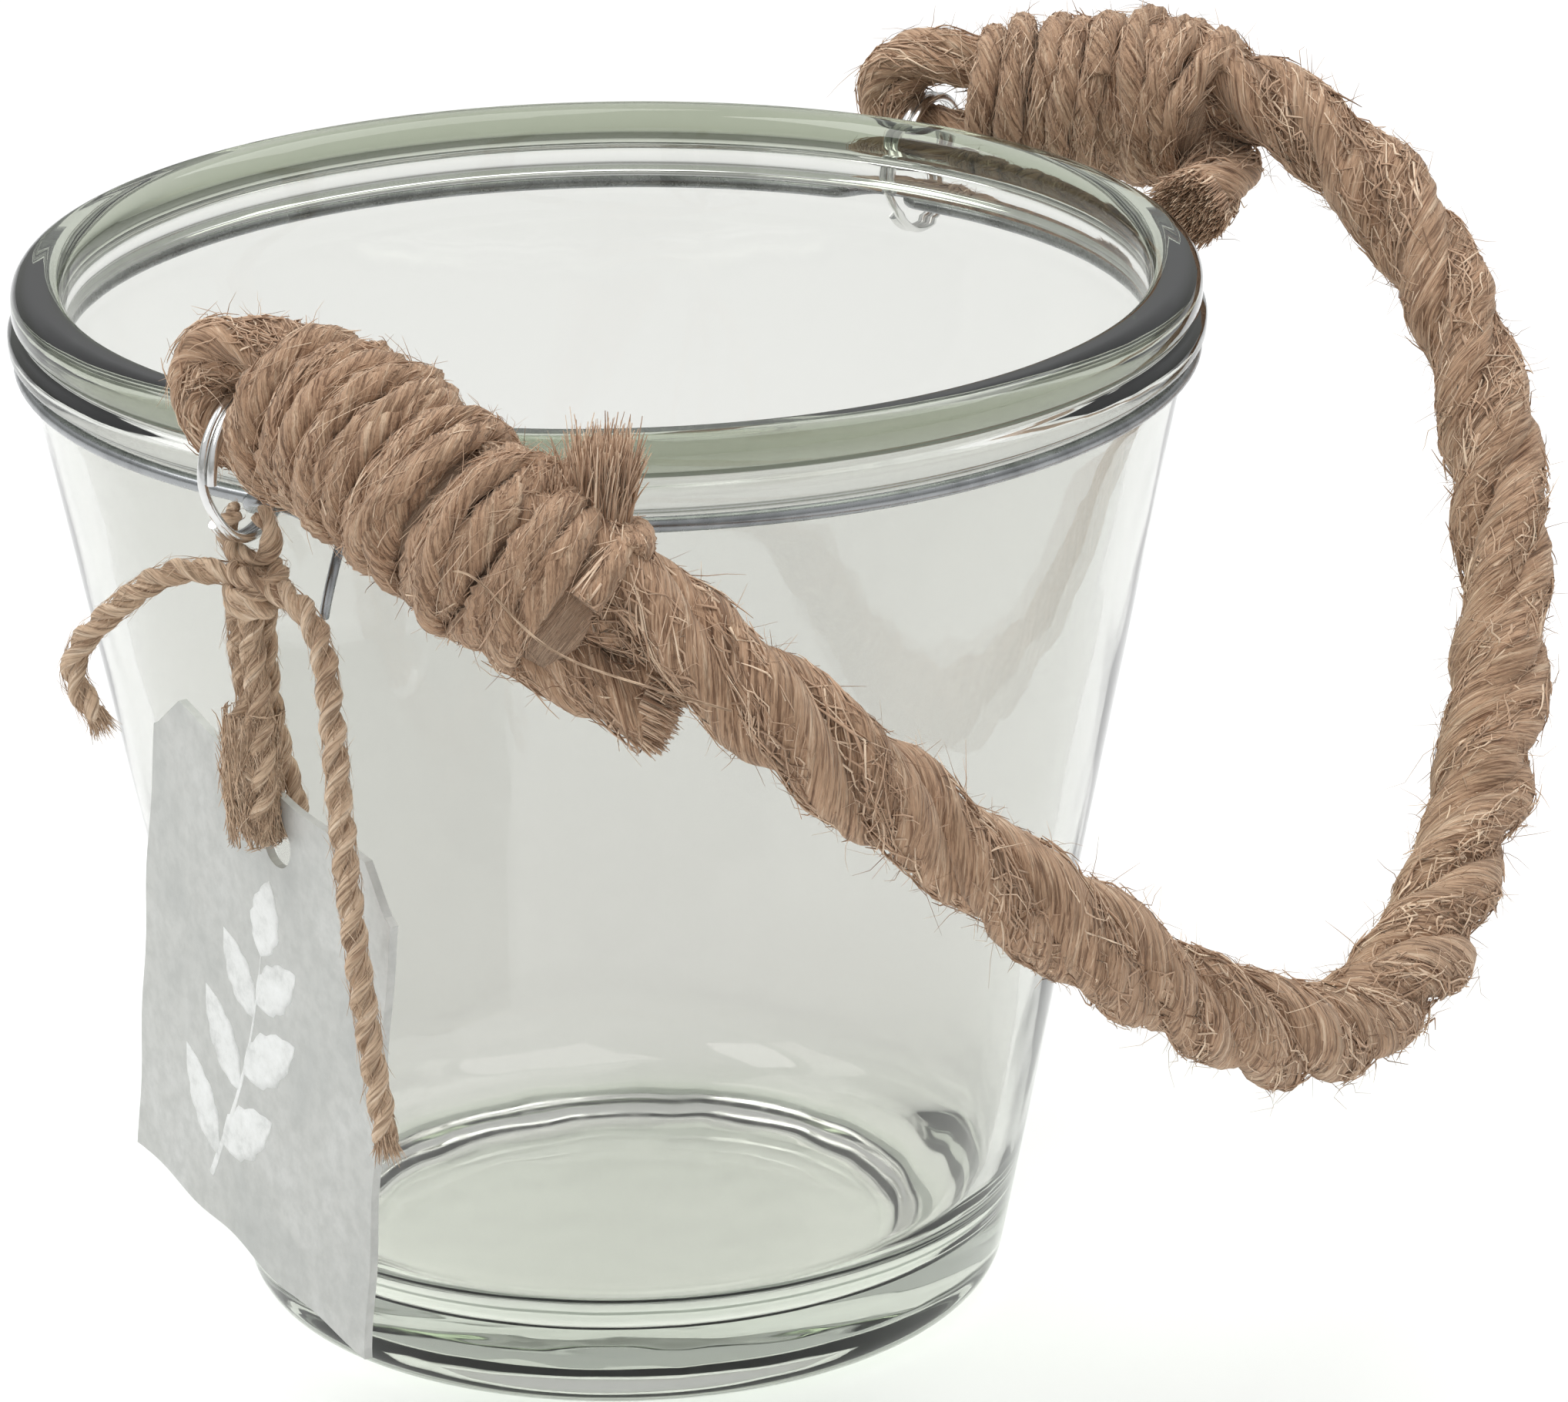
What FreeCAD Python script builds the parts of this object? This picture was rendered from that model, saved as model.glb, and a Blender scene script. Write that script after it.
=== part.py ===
import FreeCAD, Part
import Sketcher
import math
import os

# A jar lantern with a rope handle, in millimetres. +Z is up and the origin is the centre of the
# jar's foot. The two wire hooks, the rings and the rope's eyes lie on the Y axis: the front ones
# at -Y, the rear ones at +Y. At rest the handle lies over on the +X side.

Vector = FreeCAD.Vector
Rotation = FreeCAD.Rotation
Placement = FreeCAD.Placement

doc = FreeCAD.newDocument("JarLantern")

# ---------------------------------------------------------------- driving dimensions
DIMENSIONS = [
    # jar
    ("jar_height", 100.0, "foot to the top of the rim bead"),
    ("rim_radius", 55.0, "outside of the flange, the widest ring of the jar"),
    ("bead_radius", 54.6, "outside of the rounded bead above the flange"),
    ("mouth_radius", 49.8, "inside of the rim"),
    ("foot_line_radius", 35.4, "where the wall's slope would meet the ground"),
    ("wall_taper", 0.194, "wall radius gained per millimetre of height"),
    ("glass_wall", 3.25, "wall thickness"),
    ("floor_top", 7.0, "top of the heavy floor"),
    ("floor_round", 9.0, "fillet between the floor and the wall, inside"),
    ("heel_round", 4.0, "fillet between the foot and the wall, outside"),
    ("punt_radius", 26.0, "raised middle of the underside"),
    ("punt_height", 2.2, "how far the underside is raised"),
    ("foot_inner_radius", 29.5, "inner edge of the ring that stands on the table"),
    ("neck_height", 92.0, "height of the neck groove's wire"),
    ("flange_bottom", 93.2, "underside of the flange"),
    ("flange_top", 95.4, "top of the flange's upright face"),
    ("notch_radius", 53.9, "bottom of the notch between flange and bead"),
    ("notch_height", 96.1, "height of that notch"),
    ("bead_bottom", 96.7, "lower edge of the bead's upright face"),
    ("bead_round", 2.0, "rounding of the bead's two top edges"),
    # neck wire
    ("wire_diameter", 1.4, "neck wire"),
    ("wire_fit_gap", 0.1, "between the wire and the glass"),
    ("hook_reach", 59.4, "distance from the jar's axis to the middle of a hook"),
    ("hook_half_width", 5.0, "from a hook's middle to where it leaves the hoop"),
    ("front_hook_rise", 2.2, "how far the front hook turns up"),
    ("tail_wire", 0.9, "the wire's drawn-down free end beside the front hook"),
    ("tail_drop", 8.5, "how far that end hangs below the hoop"),
    # rings
    ("ring_radius", 6.3, "split ring, to the middle of its wire"),
    ("ring_wire", 0.9, "split ring's wire"),
    ("ring_turn_gap", 0.06, "between the ring's two turns"),
    ("front_ring_out", 62.0, "front ring's centre from the jar's axis"),
    ("front_ring_up", 98.2, "front ring's centre above the ground"),
    ("rear_ring_out", 64.0, "rear ring's centre from the jar's axis"),
    ("rear_ring_up", 92.7, "rear ring's centre above the ground"),
    # rope handle
    ("rope_diameter", 8.2, "rope between the two whippings"),
    ("eye_rope_diameter", 6.4, "rope pressed thinner round the ring and in the cut tails"),
    ("eye_radius", 4.6, "ring's wire to the middle of the rope"),
    ("strand_offset", 3.2, "whipping's middle to the upper strand"),
    ("tail_offset", 4.4, "whipping's middle to the cut tail's strand"),
    ("whipping_radius", 8.0, "outside of the yarn winding"),
    ("wrap_gap", 0.1, "between the winding and the rope inside it"),
    # tag
    ("tag_width", 41.0, "plate, along its lower edge"),
    ("tag_height", 47.5, "plate, top to bottom"),
    ("tag_thickness", 0.8, "plate"),
    ("tag_clip", 4.3, "clipped top corners"),
    ("tag_hole_diameter", 4.6, "hole for the twine"),
    ("tag_hole_drop", 5.0, "top edge to the middle of the hole"),
    ("tag_hole_aside", 2.2, "middle of the hole from the plate's middle line"),
    ("tag_hole_up", 64.4, "middle of the hole above the ground"),
    ("tag_hole_out", 62.6, "middle of the hole from the jar's axis"),
    ("tag_turn", -28.0, "degrees the plate is turned about the vertical"),
    ("tag_roll", 9.0, "degrees the plate hangs askew in its own plane"),
    ("twine_diameter", 2.0, "tag twine"),
    ("tail_twine_diameter", 1.9, "free ends of the twine"),
    ("knot_diameter", 6.0, "knot under the ring"),
    ("knot_drop", 4.6, "middle of the ring's lower wire to the middle of the knot"),
]

sheet = doc.addObject("Spreadsheet::Sheet", "Dimensions")
for row, (name, value, note) in enumerate(DIMENSIONS, start=1):
    sheet.set("A%d" % row, name)
    sheet.set("B%d" % row, str(value))
    sheet.set("C%d" % row, note)
    sheet.setAlias("B%d" % row, name)
doc.recompute()


def size(name):
    """The value of one named cell, for shapes that are built in code."""
    return float(sheet.get(name))


def bound(name):
    """The expression that binds a property to one named cell."""
    return "Dimensions." + name


# ---------------------------------------------------------------- helpers
def origin_plane(body, role):
    for feature in body.Origin.OriginFeatures:
        if feature.Role == role:
            return feature
    raise RuntimeError("no origin feature " + role)


def new_sketch(body, name, role):
    sketch = body.newObject("Sketcher::SketchObject", name)
    sketch.AttachmentSupport = (origin_plane(body, role), [""])
    sketch.MapMode = "FlatFace"
    return sketch


def closed_outline(sketch, corners):
    """Straight sides through corners; each corner is (x expression, y expression)."""
    count = len(corners)
    places = [(doc_value(across), doc_value(up)) for across, up in corners]
    for index in range(count):
        start = Vector(*places[index], 0)
        end = Vector(*places[(index + 1) % count], 0)
        sketch.addGeometry(Part.LineSegment(start, end), False)
    for index in range(count):
        sketch.addConstraint(Sketcher.Constraint("Coincident", index, 2, (index + 1) % count, 1))
    for index, (across, up) in enumerate(corners):
        hold_coordinate(sketch, index, "DistanceX", places[index][0], across)
        hold_coordinate(sketch, index, "DistanceY", places[index][1], up)


def hold_coordinate(sketch, line, kind, value, expression):
    """Fix one coordinate of a line's start point to an expression, or to the origin's axis."""
    if expression == "0":
        axis = -2 if kind == "DistanceX" else -1
        sketch.addConstraint(Sketcher.Constraint("PointOnObject", line, 1, axis))
        return
    held = sketch.addConstraint(Sketcher.Constraint(kind, -1, 1, line, 1, value))
    sketch.setExpression("Constraints[%d]" % held, expression)


def doc_value(expression):
    """Evaluate a sheet expression such as 'Dimensions.a + Dimensions.b' to a plain number."""
    return float(sheet.evalExpression(expression))


def through(points, tangents=None):
    """A smooth curve through the points, optionally with set end directions."""
    curve = Part.BSplineCurve()
    if tangents:
        curve.interpolate(Points=points, InitialTangent=tangents[0], FinalTangent=tangents[1])
    else:
        curve.interpolate(points)
    return curve


def tube(edge, radius):
    """A round tube along an edge."""
    start = edge.FirstParameter
    section = Part.Circle(edge.valueAt(start), edge.tangentAt(start), radius).toShape()
    pipe = Part.Wire([edge]).makePipeShell([Part.Wire([section])], True, False)
    return pipe


def put(label, shape, placement=None):
    """Add a finished shape to the document as one named sub-part."""
    feature = doc.addObject("Part::Feature", label)
    feature.Label = label
    feature.Shape = shape
    if placement is not None:
        feature.Placement = placement
    return feature


# ---------------------------------------------------------------- jar
def make_jar():
    """One moulding: a revolved section, then its rounded edges."""
    body = doc.addObject("PartDesign::Body", "glass_jar")
    body.Label = "glass_jar"
    sketch = new_sketch(body, "jar_section", "XZ_Plane")
    wall_at = "{0}.foot_line_radius + {0}.wall_taper * ({1})"
    neck = "Dimensions.neck_height - 1"
    closed_outline(sketch, [
        ("0", bound("punt_height")),
        (bound("punt_radius"), bound("punt_height")),
        (bound("foot_inner_radius"), "0"),
        (bound("foot_line_radius"), "0"),
        (wall_at.format("Dimensions", neck), neck),
        (wall_at.format("Dimensions", neck), bound("flange_bottom")),
        (bound("rim_radius"), bound("flange_bottom") + " + 0.3"),
        (bound("rim_radius"), bound("flange_top")),
        (bound("notch_radius"), bound("notch_height")),
        (bound("bead_radius"), bound("bead_bottom")),
        (bound("bead_radius"), bound("jar_height")),
        (bound("mouth_radius"), bound("jar_height")),
        (bound("mouth_radius"), neck),
        (wall_at.format("Dimensions", "Dimensions.floor_top") + " - Dimensions.glass_wall",
         bound("floor_top")),
        ("0", bound("floor_top")),
    ])
    doc.recompute()
    turn = body.newObject("PartDesign::Revolution", "jar_turned")
    turn.Profile = sketch
    turn.ReferenceAxis = (sketch, ["V_Axis"])
    turn.Angle = 360.0
    doc.recompute()
    round_rings(body, turn, "heel", "heel_round", size("foot_line_radius"), 0.0)
    round_rings(body, body.Tip, "bead_outside", "bead_round", size("bead_radius"), size("jar_height"))
    round_rings(body, body.Tip, "bead_inside", "bead_round", size("mouth_radius"), size("jar_height"))
    inside = size("foot_line_radius") + size("wall_taper") * size("floor_top") - size("glass_wall")
    round_rings(body, body.Tip, "floor_edge", "floor_round", inside, size("floor_top"))
    return body


def round_rings(body, base, name, radius_cell, ring_radius, ring_height):
    """Fillet the circular edge of the given radius and height."""
    for index, edge in enumerate(base.Shape.Edges, start=1):
        curve = edge.Curve
        is_ring = isinstance(curve, Part.Circle) and abs(curve.Radius - ring_radius) < 0.05
        if is_ring and abs(curve.Center.z - ring_height) < 0.05:
            fillet = body.newObject("PartDesign::Fillet", name)
            fillet.Base = (base, ["Edge%d" % index])
            fillet.setExpression("Radius", bound(radius_cell))
            doc.recompute()
            return
    raise RuntimeError("no edge to round for " + name)


# ---------------------------------------------------------------- neck wire
def hoop_radius():
    groove = size("foot_line_radius") + size("wall_taper") * (size("neck_height") - 1.0)
    return groove + size("wire_fit_gap") + size("wire_diameter") / 2.0


def hook_edge(side, rise):
    """The hook at side -1 (front) or +1 (rear): out under the flange, round and back."""
    radius = hoop_radius()
    level = size("neck_height")
    half = size("hook_half_width")
    reach = size("hook_reach")
    leave = math.sqrt(radius ** 2 - half ** 2)
    clear = size("rim_radius") + size("wire_diameter") / 2.0 + 0.5
    points = [
        Vector(-half, side * leave, level),
        Vector(-0.62 * half, side * clear, level + 0.12 * rise),
        Vector(-0.36 * half, side * (reach - 0.8), level + 0.75 * rise),
        Vector(0, side * reach, level + rise),
        Vector(0.36 * half, side * (reach - 0.8), level + 0.75 * rise),
        Vector(0.62 * half, side * clear, level + 0.12 * rise),
        Vector(half, side * leave, level),
    ]
    along = Vector(leave, side * half, 0).normalize()
    back = Vector(leave, -side * half, 0).normalize()
    return through(points, (along, back)).toShape()


def make_neck_wire():
    """A hoop in the neck groove with a hook bent outwards at the front and at the rear."""
    radius = hoop_radius()
    level = size("neck_height")
    wire_radius = size("wire_diameter") / 2.0
    corner = math.degrees(math.asin(size("hook_half_width") / radius))
    centre = Vector(0, 0, level)
    up = Vector(0, 0, 1)
    right = Part.makeCircle(radius, centre, up, -90 + corner, 90 - corner)
    left = Part.makeCircle(radius, centre, up, 90 + corner, 270 - corner)
    hoop = tube(right, wire_radius)
    hoop = hoop.fuse(tube(left, wire_radius))
    hoop = hoop.fuse(tube(hook_edge(-1, size("front_hook_rise")), wire_radius))
    hoop = hoop.fuse(tube(hook_edge(1, 0.0), wire_radius))
    half = size("hook_half_width")
    front = -math.sqrt(radius ** 2 - half ** 2)
    drop = size("tail_drop")
    free_end = through([
        Vector(half, front - 0.2, level),
        Vector(half + 0.6, front - 2.2, level - 0.12 * drop),
        Vector(half + 0.3, front - 3.6, level - 0.5 * drop),
        Vector(half - 0.9, front - 3.4, level - drop),
    ]).toShape()
    hoop = hoop.fuse(tube(free_end, size("tail_wire") / 2.0))
    return put("neck_wire", hoop.removeSplitter())


# ---------------------------------------------------------------- rings
def make_ring(label, out, up):
    """A split ring: two flat turns side by side, with one step from the first to the second."""
    radius = size("ring_radius")
    half_pitch = (size("ring_wire") + size("ring_turn_gap")) / 2.0
    per_turn = 36
    first_step = 2
    points = []
    for step in range(first_step, 2 * per_turn - first_step + 1):
        turns = step / per_turn
        rise = min(1.0, max(0.0, (turns - 0.92) / 0.16))
        smooth = rise * rise * (3.0 - 2.0 * rise)
        angle = 2.0 * math.pi * turns + math.radians(200)
        points.append(Vector((2.0 * smooth - 1.0) * half_pitch,
                             radius * math.cos(angle), radius * math.sin(angle)))
    ring = tube(through(points).toShape(), size("ring_wire") / 2.0)
    return put(label, ring, Placement(Vector(0, out, up), Rotation()))


# ---------------------------------------------------------------- rope handle
# The handle has its own frame: its Y axis is the line through the two eyes, on the rings' top
# wires, and its origin is midway between them.
def handle_frame():
    front = Vector(0, -size("front_ring_out"), size("front_ring_up") + size("ring_radius"))
    rear = Vector(0, size("rear_ring_out"), size("rear_ring_up") + size("ring_radius"))
    turn = Rotation(Vector(0, 1, 0), rear - front)
    return Placement((front + rear) * 0.5, turn), (rear - front).Length / 2.0


# Middle line of each whipping, from its mouth by the eye to its ragged end.
FRONT_WHIPPING = [(8, -64.6, 0.2), (20, -69, -2.8), (30, -70.7, -7.5), (39, -69.6, -12.5)]
REAR_WHIPPING = [(8, 65.2, 1.4), (17, 68.2, 2.5), (25, 69.8, 2.6), (32, 70.2, 1.6)]
# The free bow of rope between the whippings: out, down to its lowest point and back.
ROPE_BOW = [
    (52, -66, -19.5), (61, -59, -28), (69, -49, -39), (75, -35, -50), (79, -8, -60),
    (77, 22, -54), (72, 41, -42), (61, 59, -20), (52, 66, -9),
]
# The cut ends that stick out of the whippings.
FRONT_CUT_END = (44.5, -68.0, -20.5)
REAR_CUT_END = (34.0, 60.0, -8.5)


def whipping_curve(places):
    return through([Vector(*place) for place in places])


def beside(curve, fraction, offset):
    """A point beside a whipping's middle line, offset upwards in the strands' plane."""
    first, last = curve.FirstParameter, curve.LastParameter
    parameter = first + fraction * (last - first)
    along = Vector(*curve.tangent(parameter)[0]).normalize()
    up = Vector(0, 0, 1)
    up = (up - along * up.dot(along)).normalize()
    return curve.value(parameter) + up * offset


def eye_points(side, half_axis):
    """Half a circle round the ring's top wire, from above it to below it."""
    radius = size("eye_radius")
    points = []
    for degrees in (80, 125, 180, 235, 280):
        angle = math.radians(degrees)
        points.append(Vector(radius * math.cos(angle), side * half_axis, radius * math.sin(angle)))
    return points


def strand_points(side, places, cut_end, half_axis):
    """One end of the rope: down the upper strand, round the eye, out along the cut tail."""
    curve = whipping_curve(places)
    upper_offset = size("strand_offset")
    tail_offset = -size("tail_offset")
    upper = [beside(curve, fraction, upper_offset) for fraction in (1.0, 0.75, 0.5, 0.25)]
    tail = [beside(curve, fraction, tail_offset) for fraction in (0.25, 0.5, 0.75, 1.0)]
    return upper, [upper[-1]] + eye_points(side, half_axis) + tail + [Vector(*cut_end)]


def make_handle():
    frame, half_axis = handle_frame()
    thin = size("eye_rope_diameter") / 2.0
    thick = size("rope_diameter") / 2.0
    gap = size("wrap_gap")
    front_upper, front_end = strand_points(-1, FRONT_WHIPPING, FRONT_CUT_END, half_axis)
    rear_upper, rear_end = strand_points(1, REAR_WHIPPING, REAR_CUT_END, half_axis)
    bow_points = front_upper[::-1] + [Vector(*place) for place in ROPE_BOW] + rear_upper
    bow = through(bow_points).toShape()
    front = through(front_end).toShape()
    rear = through(rear_end).toShape()
    rope = tube(bow, thick).fuse([tube(front, thin), tube(rear, thin)])
    put("handle_rope", rope.removeSplitter(), frame)
    for label, places, end_edge in (("front_whipping", FRONT_WHIPPING, front),
                                    ("rear_whipping", REAR_WHIPPING, rear)):
        winding = tube(whipping_curve(places).toShape(), size("whipping_radius"))
        inside = tube(bow, thick + gap).fuse(tube(end_edge, thin + gap))
        put(label, winding.cut(inside), frame)


# ---------------------------------------------------------------- tag
def tag_hole():
    """The middle of the plate's hole, in the jar's frame."""
    return Vector(2.4, -size("tag_hole_out"), size("tag_hole_up"))


def tag_facing():
    """The plate's outward normal."""
    turn = Rotation(Vector(0, 0, 1), size("tag_turn"))
    return turn.multVec(Vector(0, -1, 0))


def make_tag_plate():
    """A flat plate with two clipped corners, drawn round its hole."""
    body = doc.addObject("PartDesign::Body", "tag_plate")
    body.Label = "tag_plate"
    sketch = new_sketch(body, "tag_outline", "XZ_Plane")
    left = "-Dimensions.tag_width / 2 - Dimensions.tag_hole_aside"
    right = "Dimensions.tag_width / 2 - Dimensions.tag_hole_aside"
    bottom = "Dimensions.tag_hole_drop - Dimensions.tag_height"
    top = "Dimensions.tag_hole_drop"
    closed_outline(sketch, [
        (left, bottom),
        (right, bottom),
        (right, top + " - Dimensions.tag_clip"),
        (right + " - Dimensions.tag_clip", top),
        (left + " + Dimensions.tag_clip", top),
        (left, top + " - Dimensions.tag_clip"),
    ])
    hole_radius = size("tag_hole_diameter") / 2.0
    hole = sketch.addGeometry(Part.Circle(Vector(0, 0, 0), Vector(0, 0, 1), hole_radius), False)
    sketch.addConstraint(Sketcher.Constraint("Coincident", hole, 3, -1, 1))
    across = sketch.addConstraint(Sketcher.Constraint("Diameter", hole, 2.0 * hole_radius))
    sketch.setExpression("Constraints[%d]" % across, bound("tag_hole_diameter"))
    doc.recompute()
    pad = body.newObject("PartDesign::Pad", "tag_sheet")
    pad.Profile = sketch
    pad.Midplane = True
    pad.setExpression("Length", bound("tag_thickness"))
    doc.recompute()
    turn = Rotation(Vector(0, 0, 1), size("tag_turn"))
    roll = Rotation(Vector(0, 1, 0), size("tag_roll"))
    body.Placement = Placement(tag_hole(), turn.multiply(roll))
    return body


def make_tag_twine():
    """A turn round the ring's lower wire, a knot, a loop through the plate and two free ends."""
    radius = size("twine_diameter") / 2.0
    ring_foot = Vector(0, -size("front_ring_out"), size("front_ring_up") - size("ring_radius"))
    turn_radius = size("ring_wire") + size("ring_turn_gap") / 2.0 + radius + 0.3
    turn = Part.makeTorus(turn_radius, radius, ring_foot, Vector(0, 1, 0))
    knot_middle = ring_foot + Vector(0.8, 0, -size("knot_drop"))
    knot = Part.makeSphere(size("knot_diameter") / 2.0, knot_middle)
    hole = tag_hole()
    facing = tag_facing()
    bearing = size("tag_hole_diameter") / 2.0 - radius - 0.15
    stand_off = size("tag_thickness") / 2.0 + radius + 0.6
    up = Vector(0, 0, 1)
    apart = radius + 0.2
    start = knot_middle - up * 1.2
    front = [
        start + facing * apart,
        start + (hole + up * 9.0 - start) * 0.5 + facing * apart,
        hole + up * 9.0 + facing * (apart + 0.2),
        hole + up * 4.5 + facing * stand_off,
        hole + up * (bearing + 0.7) + facing * (0.75 * stand_off),
    ]
    back = [point - facing * (2.0 * (point - hole).dot(facing)) for point in front[:1:-1]]
    back += [front[1] - facing * (2.0 * apart), start - facing * apart]
    loop = tube(through(front + [hole + up * bearing] + back).toShape(), radius)
    left_end = through([
        knot_middle, Vector(-5.4, -64.0, 88.4), Vector(-12.0, -65.0, 84.2),
        Vector(-16.0, -66.0, 78.3), Vector(-13.5, -66.0, 74.1),
    ]).toShape()
    right_end = through([
        knot_middle, Vector(7.3, -64.8, 86.6), Vector(11.4, -68.2, 80.8),
        Vector(15.1, -72.6, 69.6), Vector(17.8, -74.6, 56.7), Vector(20.3, -75.6, 44.4),
    ]).toShape()
    end_radius = size("tail_twine_diameter") / 2.0
    twine = knot.fuse([turn, loop, tube(left_end, end_radius), tube(right_end, end_radius)])
    return put("tag_twine", twine.removeSplitter())


# ---------------------------------------------------------------- build and check
make_jar()
make_neck_wire()
make_ring("front_ring", -size("front_ring_out"), size("front_ring_up"))
make_ring("rear_ring", size("rear_ring_out"), size("rear_ring_up"))
make_handle()
make_tag_plate()
make_tag_twine()
doc.recompute()

NODES = [
    "glass_jar", "neck_wire", "front_ring", "rear_ring", "handle_rope",
    "front_whipping", "rear_whipping", "tag_plate", "tag_twine",
]

for thing in doc.Objects:
    if "Invalid" in thing.State or "Error" in thing.State:
        raise RuntimeError("failed object: " + thing.Label)
for node in NODES:
    shape = doc.getObjectsByLabel(node)[0].Shape
    if shape.isNull() or not shape.isValid() or len(shape.Solids) != 1:
        raise RuntimeError("bad shape: %s, solids %d" % (node, len(shape.Solids)))

os.makedirs("parts", exist_ok=True)
for node in NODES:
    doc.getObjectsByLabel(node)[0].Shape.exportStep("parts/" + node + ".step")
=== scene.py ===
"""Looks of the jar lantern: glass, steel wire, jute rope and twine, and a sheet metal tag.

Shapes are worked out in millimetres in the part's frame and written to Blender in metres.
"""
import math

import bpy
import numpy as np
from mathutils import Matrix, Vector
from mathutils.geometry import delaunay_2d_cdt


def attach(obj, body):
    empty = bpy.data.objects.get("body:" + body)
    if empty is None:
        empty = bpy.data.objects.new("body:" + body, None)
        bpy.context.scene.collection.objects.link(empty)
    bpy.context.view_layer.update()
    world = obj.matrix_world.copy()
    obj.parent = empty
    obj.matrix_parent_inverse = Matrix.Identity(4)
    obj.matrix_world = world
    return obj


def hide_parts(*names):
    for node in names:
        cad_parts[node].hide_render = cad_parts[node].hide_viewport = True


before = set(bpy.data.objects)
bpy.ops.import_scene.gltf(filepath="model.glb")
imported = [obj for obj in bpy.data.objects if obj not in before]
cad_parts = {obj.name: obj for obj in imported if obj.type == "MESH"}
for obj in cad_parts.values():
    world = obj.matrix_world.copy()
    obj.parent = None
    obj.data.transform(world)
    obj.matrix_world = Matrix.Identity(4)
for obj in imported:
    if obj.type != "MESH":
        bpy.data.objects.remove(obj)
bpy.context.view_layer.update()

MM = 0.001
TURN = 2.0 * math.pi


# ---------------------------------------------------------------- curves
def spline(points, step):
    """A smooth curve through the points, sampled about every step millimetres."""
    points = np.asarray(points, float)
    chord = np.linalg.norm(np.diff(points, axis=0), axis=1)
    knots = np.concatenate([[0.0], np.cumsum(chord)])
    count = len(points)
    system = np.zeros((count, count))
    right = np.zeros((count, 3))
    system[0, 0] = system[-1, -1] = 1.0
    for i in range(1, count - 1):
        before, after = chord[i - 1], chord[i]
        system[i, i - 1:i + 2] = before, 2.0 * (before + after), after
        slope_after = (points[i + 1] - points[i]) / after
        slope_before = (points[i] - points[i - 1]) / before
        right[i] = 6.0 * (slope_after - slope_before)
    bend = np.linalg.solve(system, right)
    where = np.linspace(0.0, knots[-1], max(4, int(knots[-1] / step)))
    seg = np.clip(np.searchsorted(knots, where, side="right") - 1, 0, count - 2)
    h = chord[seg][:, None]
    t = (where - knots[seg])[:, None]
    u = h - t
    curve = (bend[seg] * u ** 3 + bend[seg + 1] * t ** 3) / (6.0 * h)
    curve += (points[seg] / h - bend[seg] * h / 6.0) * u
    curve += (points[seg + 1] / h - bend[seg + 1] * h / 6.0) * t
    return curve


def unit(vectors):
    return vectors / np.maximum(np.linalg.norm(vectors, axis=-1, keepdims=True), 1e-9)


class Path:
    """A polyline with a frame that doesn't twist, looked up by length along it."""

    def __init__(self, points, up=(0.0, 0.0, 1.0)):
        self.points = np.asarray(points, float)
        steps = np.linalg.norm(np.diff(self.points, axis=0), axis=1)
        self.s = np.concatenate([[0.0], np.cumsum(steps)])
        self.length = self.s[-1]
        self.tangent = unit(np.gradient(self.points, axis=0))
        normal = np.asarray(up, float)
        normals = []
        for tangent in self.tangent:
            normal = normal - tangent * normal.dot(tangent)
            if np.linalg.norm(normal) < 1e-6:
                normal = np.cross(tangent, (0.3, 0.9, 0.2))
            normal = normal / np.linalg.norm(normal)
            normals.append(normal)
        self.normal = np.array(normals)
        self.side = np.cross(self.tangent, self.normal)

    def look(self, table, s):
        s = np.asarray(s, float)
        return np.stack([np.interp(s, self.s, table[:, k]) for k in range(3)], axis=-1)

    def at(self, s):
        return self.look(self.points, s)

    def around(self, s, angle):
        """Unit direction out of the path at an angle round it."""
        turned = np.cos(angle)[..., None] * self.look(self.normal, s)
        turned = turned + np.sin(angle)[..., None] * self.look(self.side, s)
        return unit(turned)

    def along(self, s):
        return unit(self.look(self.tangent, s))


def from_ends(path, s, over):
    """0 at both ends of the path, rising to 1 within the length over."""
    return np.clip(np.minimum(s, path.length - s) / over, 0.0, 1.0)


# ---------------------------------------------------------------- meshes
def add_mesh(name, vertices, faces, material, straight=None, smooth=True):
    """One object from points in millimetres. straight is each point's place in the unbent fibre."""
    mesh = bpy.data.meshes.new(name)
    mesh.from_pydata((np.asarray(vertices) * MM).tolist(), [], faces)
    mesh.update()
    if smooth:
        mesh.polygons.foreach_set("use_smooth", [True] * len(mesh.polygons))
    if straight is not None:
        layer = mesh.attributes.new("straight", "FLOAT_VECTOR", "POINT")
        layer.data.foreach_set("vector", np.asarray(straight, np.float32).ravel())
    mesh.materials.append(material)
    thing = bpy.data.objects.new(name, mesh)
    bpy.context.scene.collection.objects.link(thing)
    return thing


def assign(piece, body, node_name=None):
    """The body a piece moves with and the CAD node it stands for, if any."""
    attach(piece, body)
    if node_name:
        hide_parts(node_name)


def wall_faces(rings, sides, start=0):
    """Faces between rings of points that follow each other."""
    faces = []
    for ring in range(rings - 1):
        low = start + ring * sides
        for k in range(sides):
            after = (k + 1) % sides
            faces.append((low + k, low + after, low + sides + after, low + sides + k))
    return faces


def tube_faces(rings, sides, start):
    """Faces of one tube closed at both ends."""
    faces = wall_faces(rings, sides, start)
    faces.append(tuple(start + k for k in reversed(range(sides))))
    last = start + (rings - 1) * sides
    faces.append(tuple(last + k for k in range(sides)))
    return faces


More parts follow.
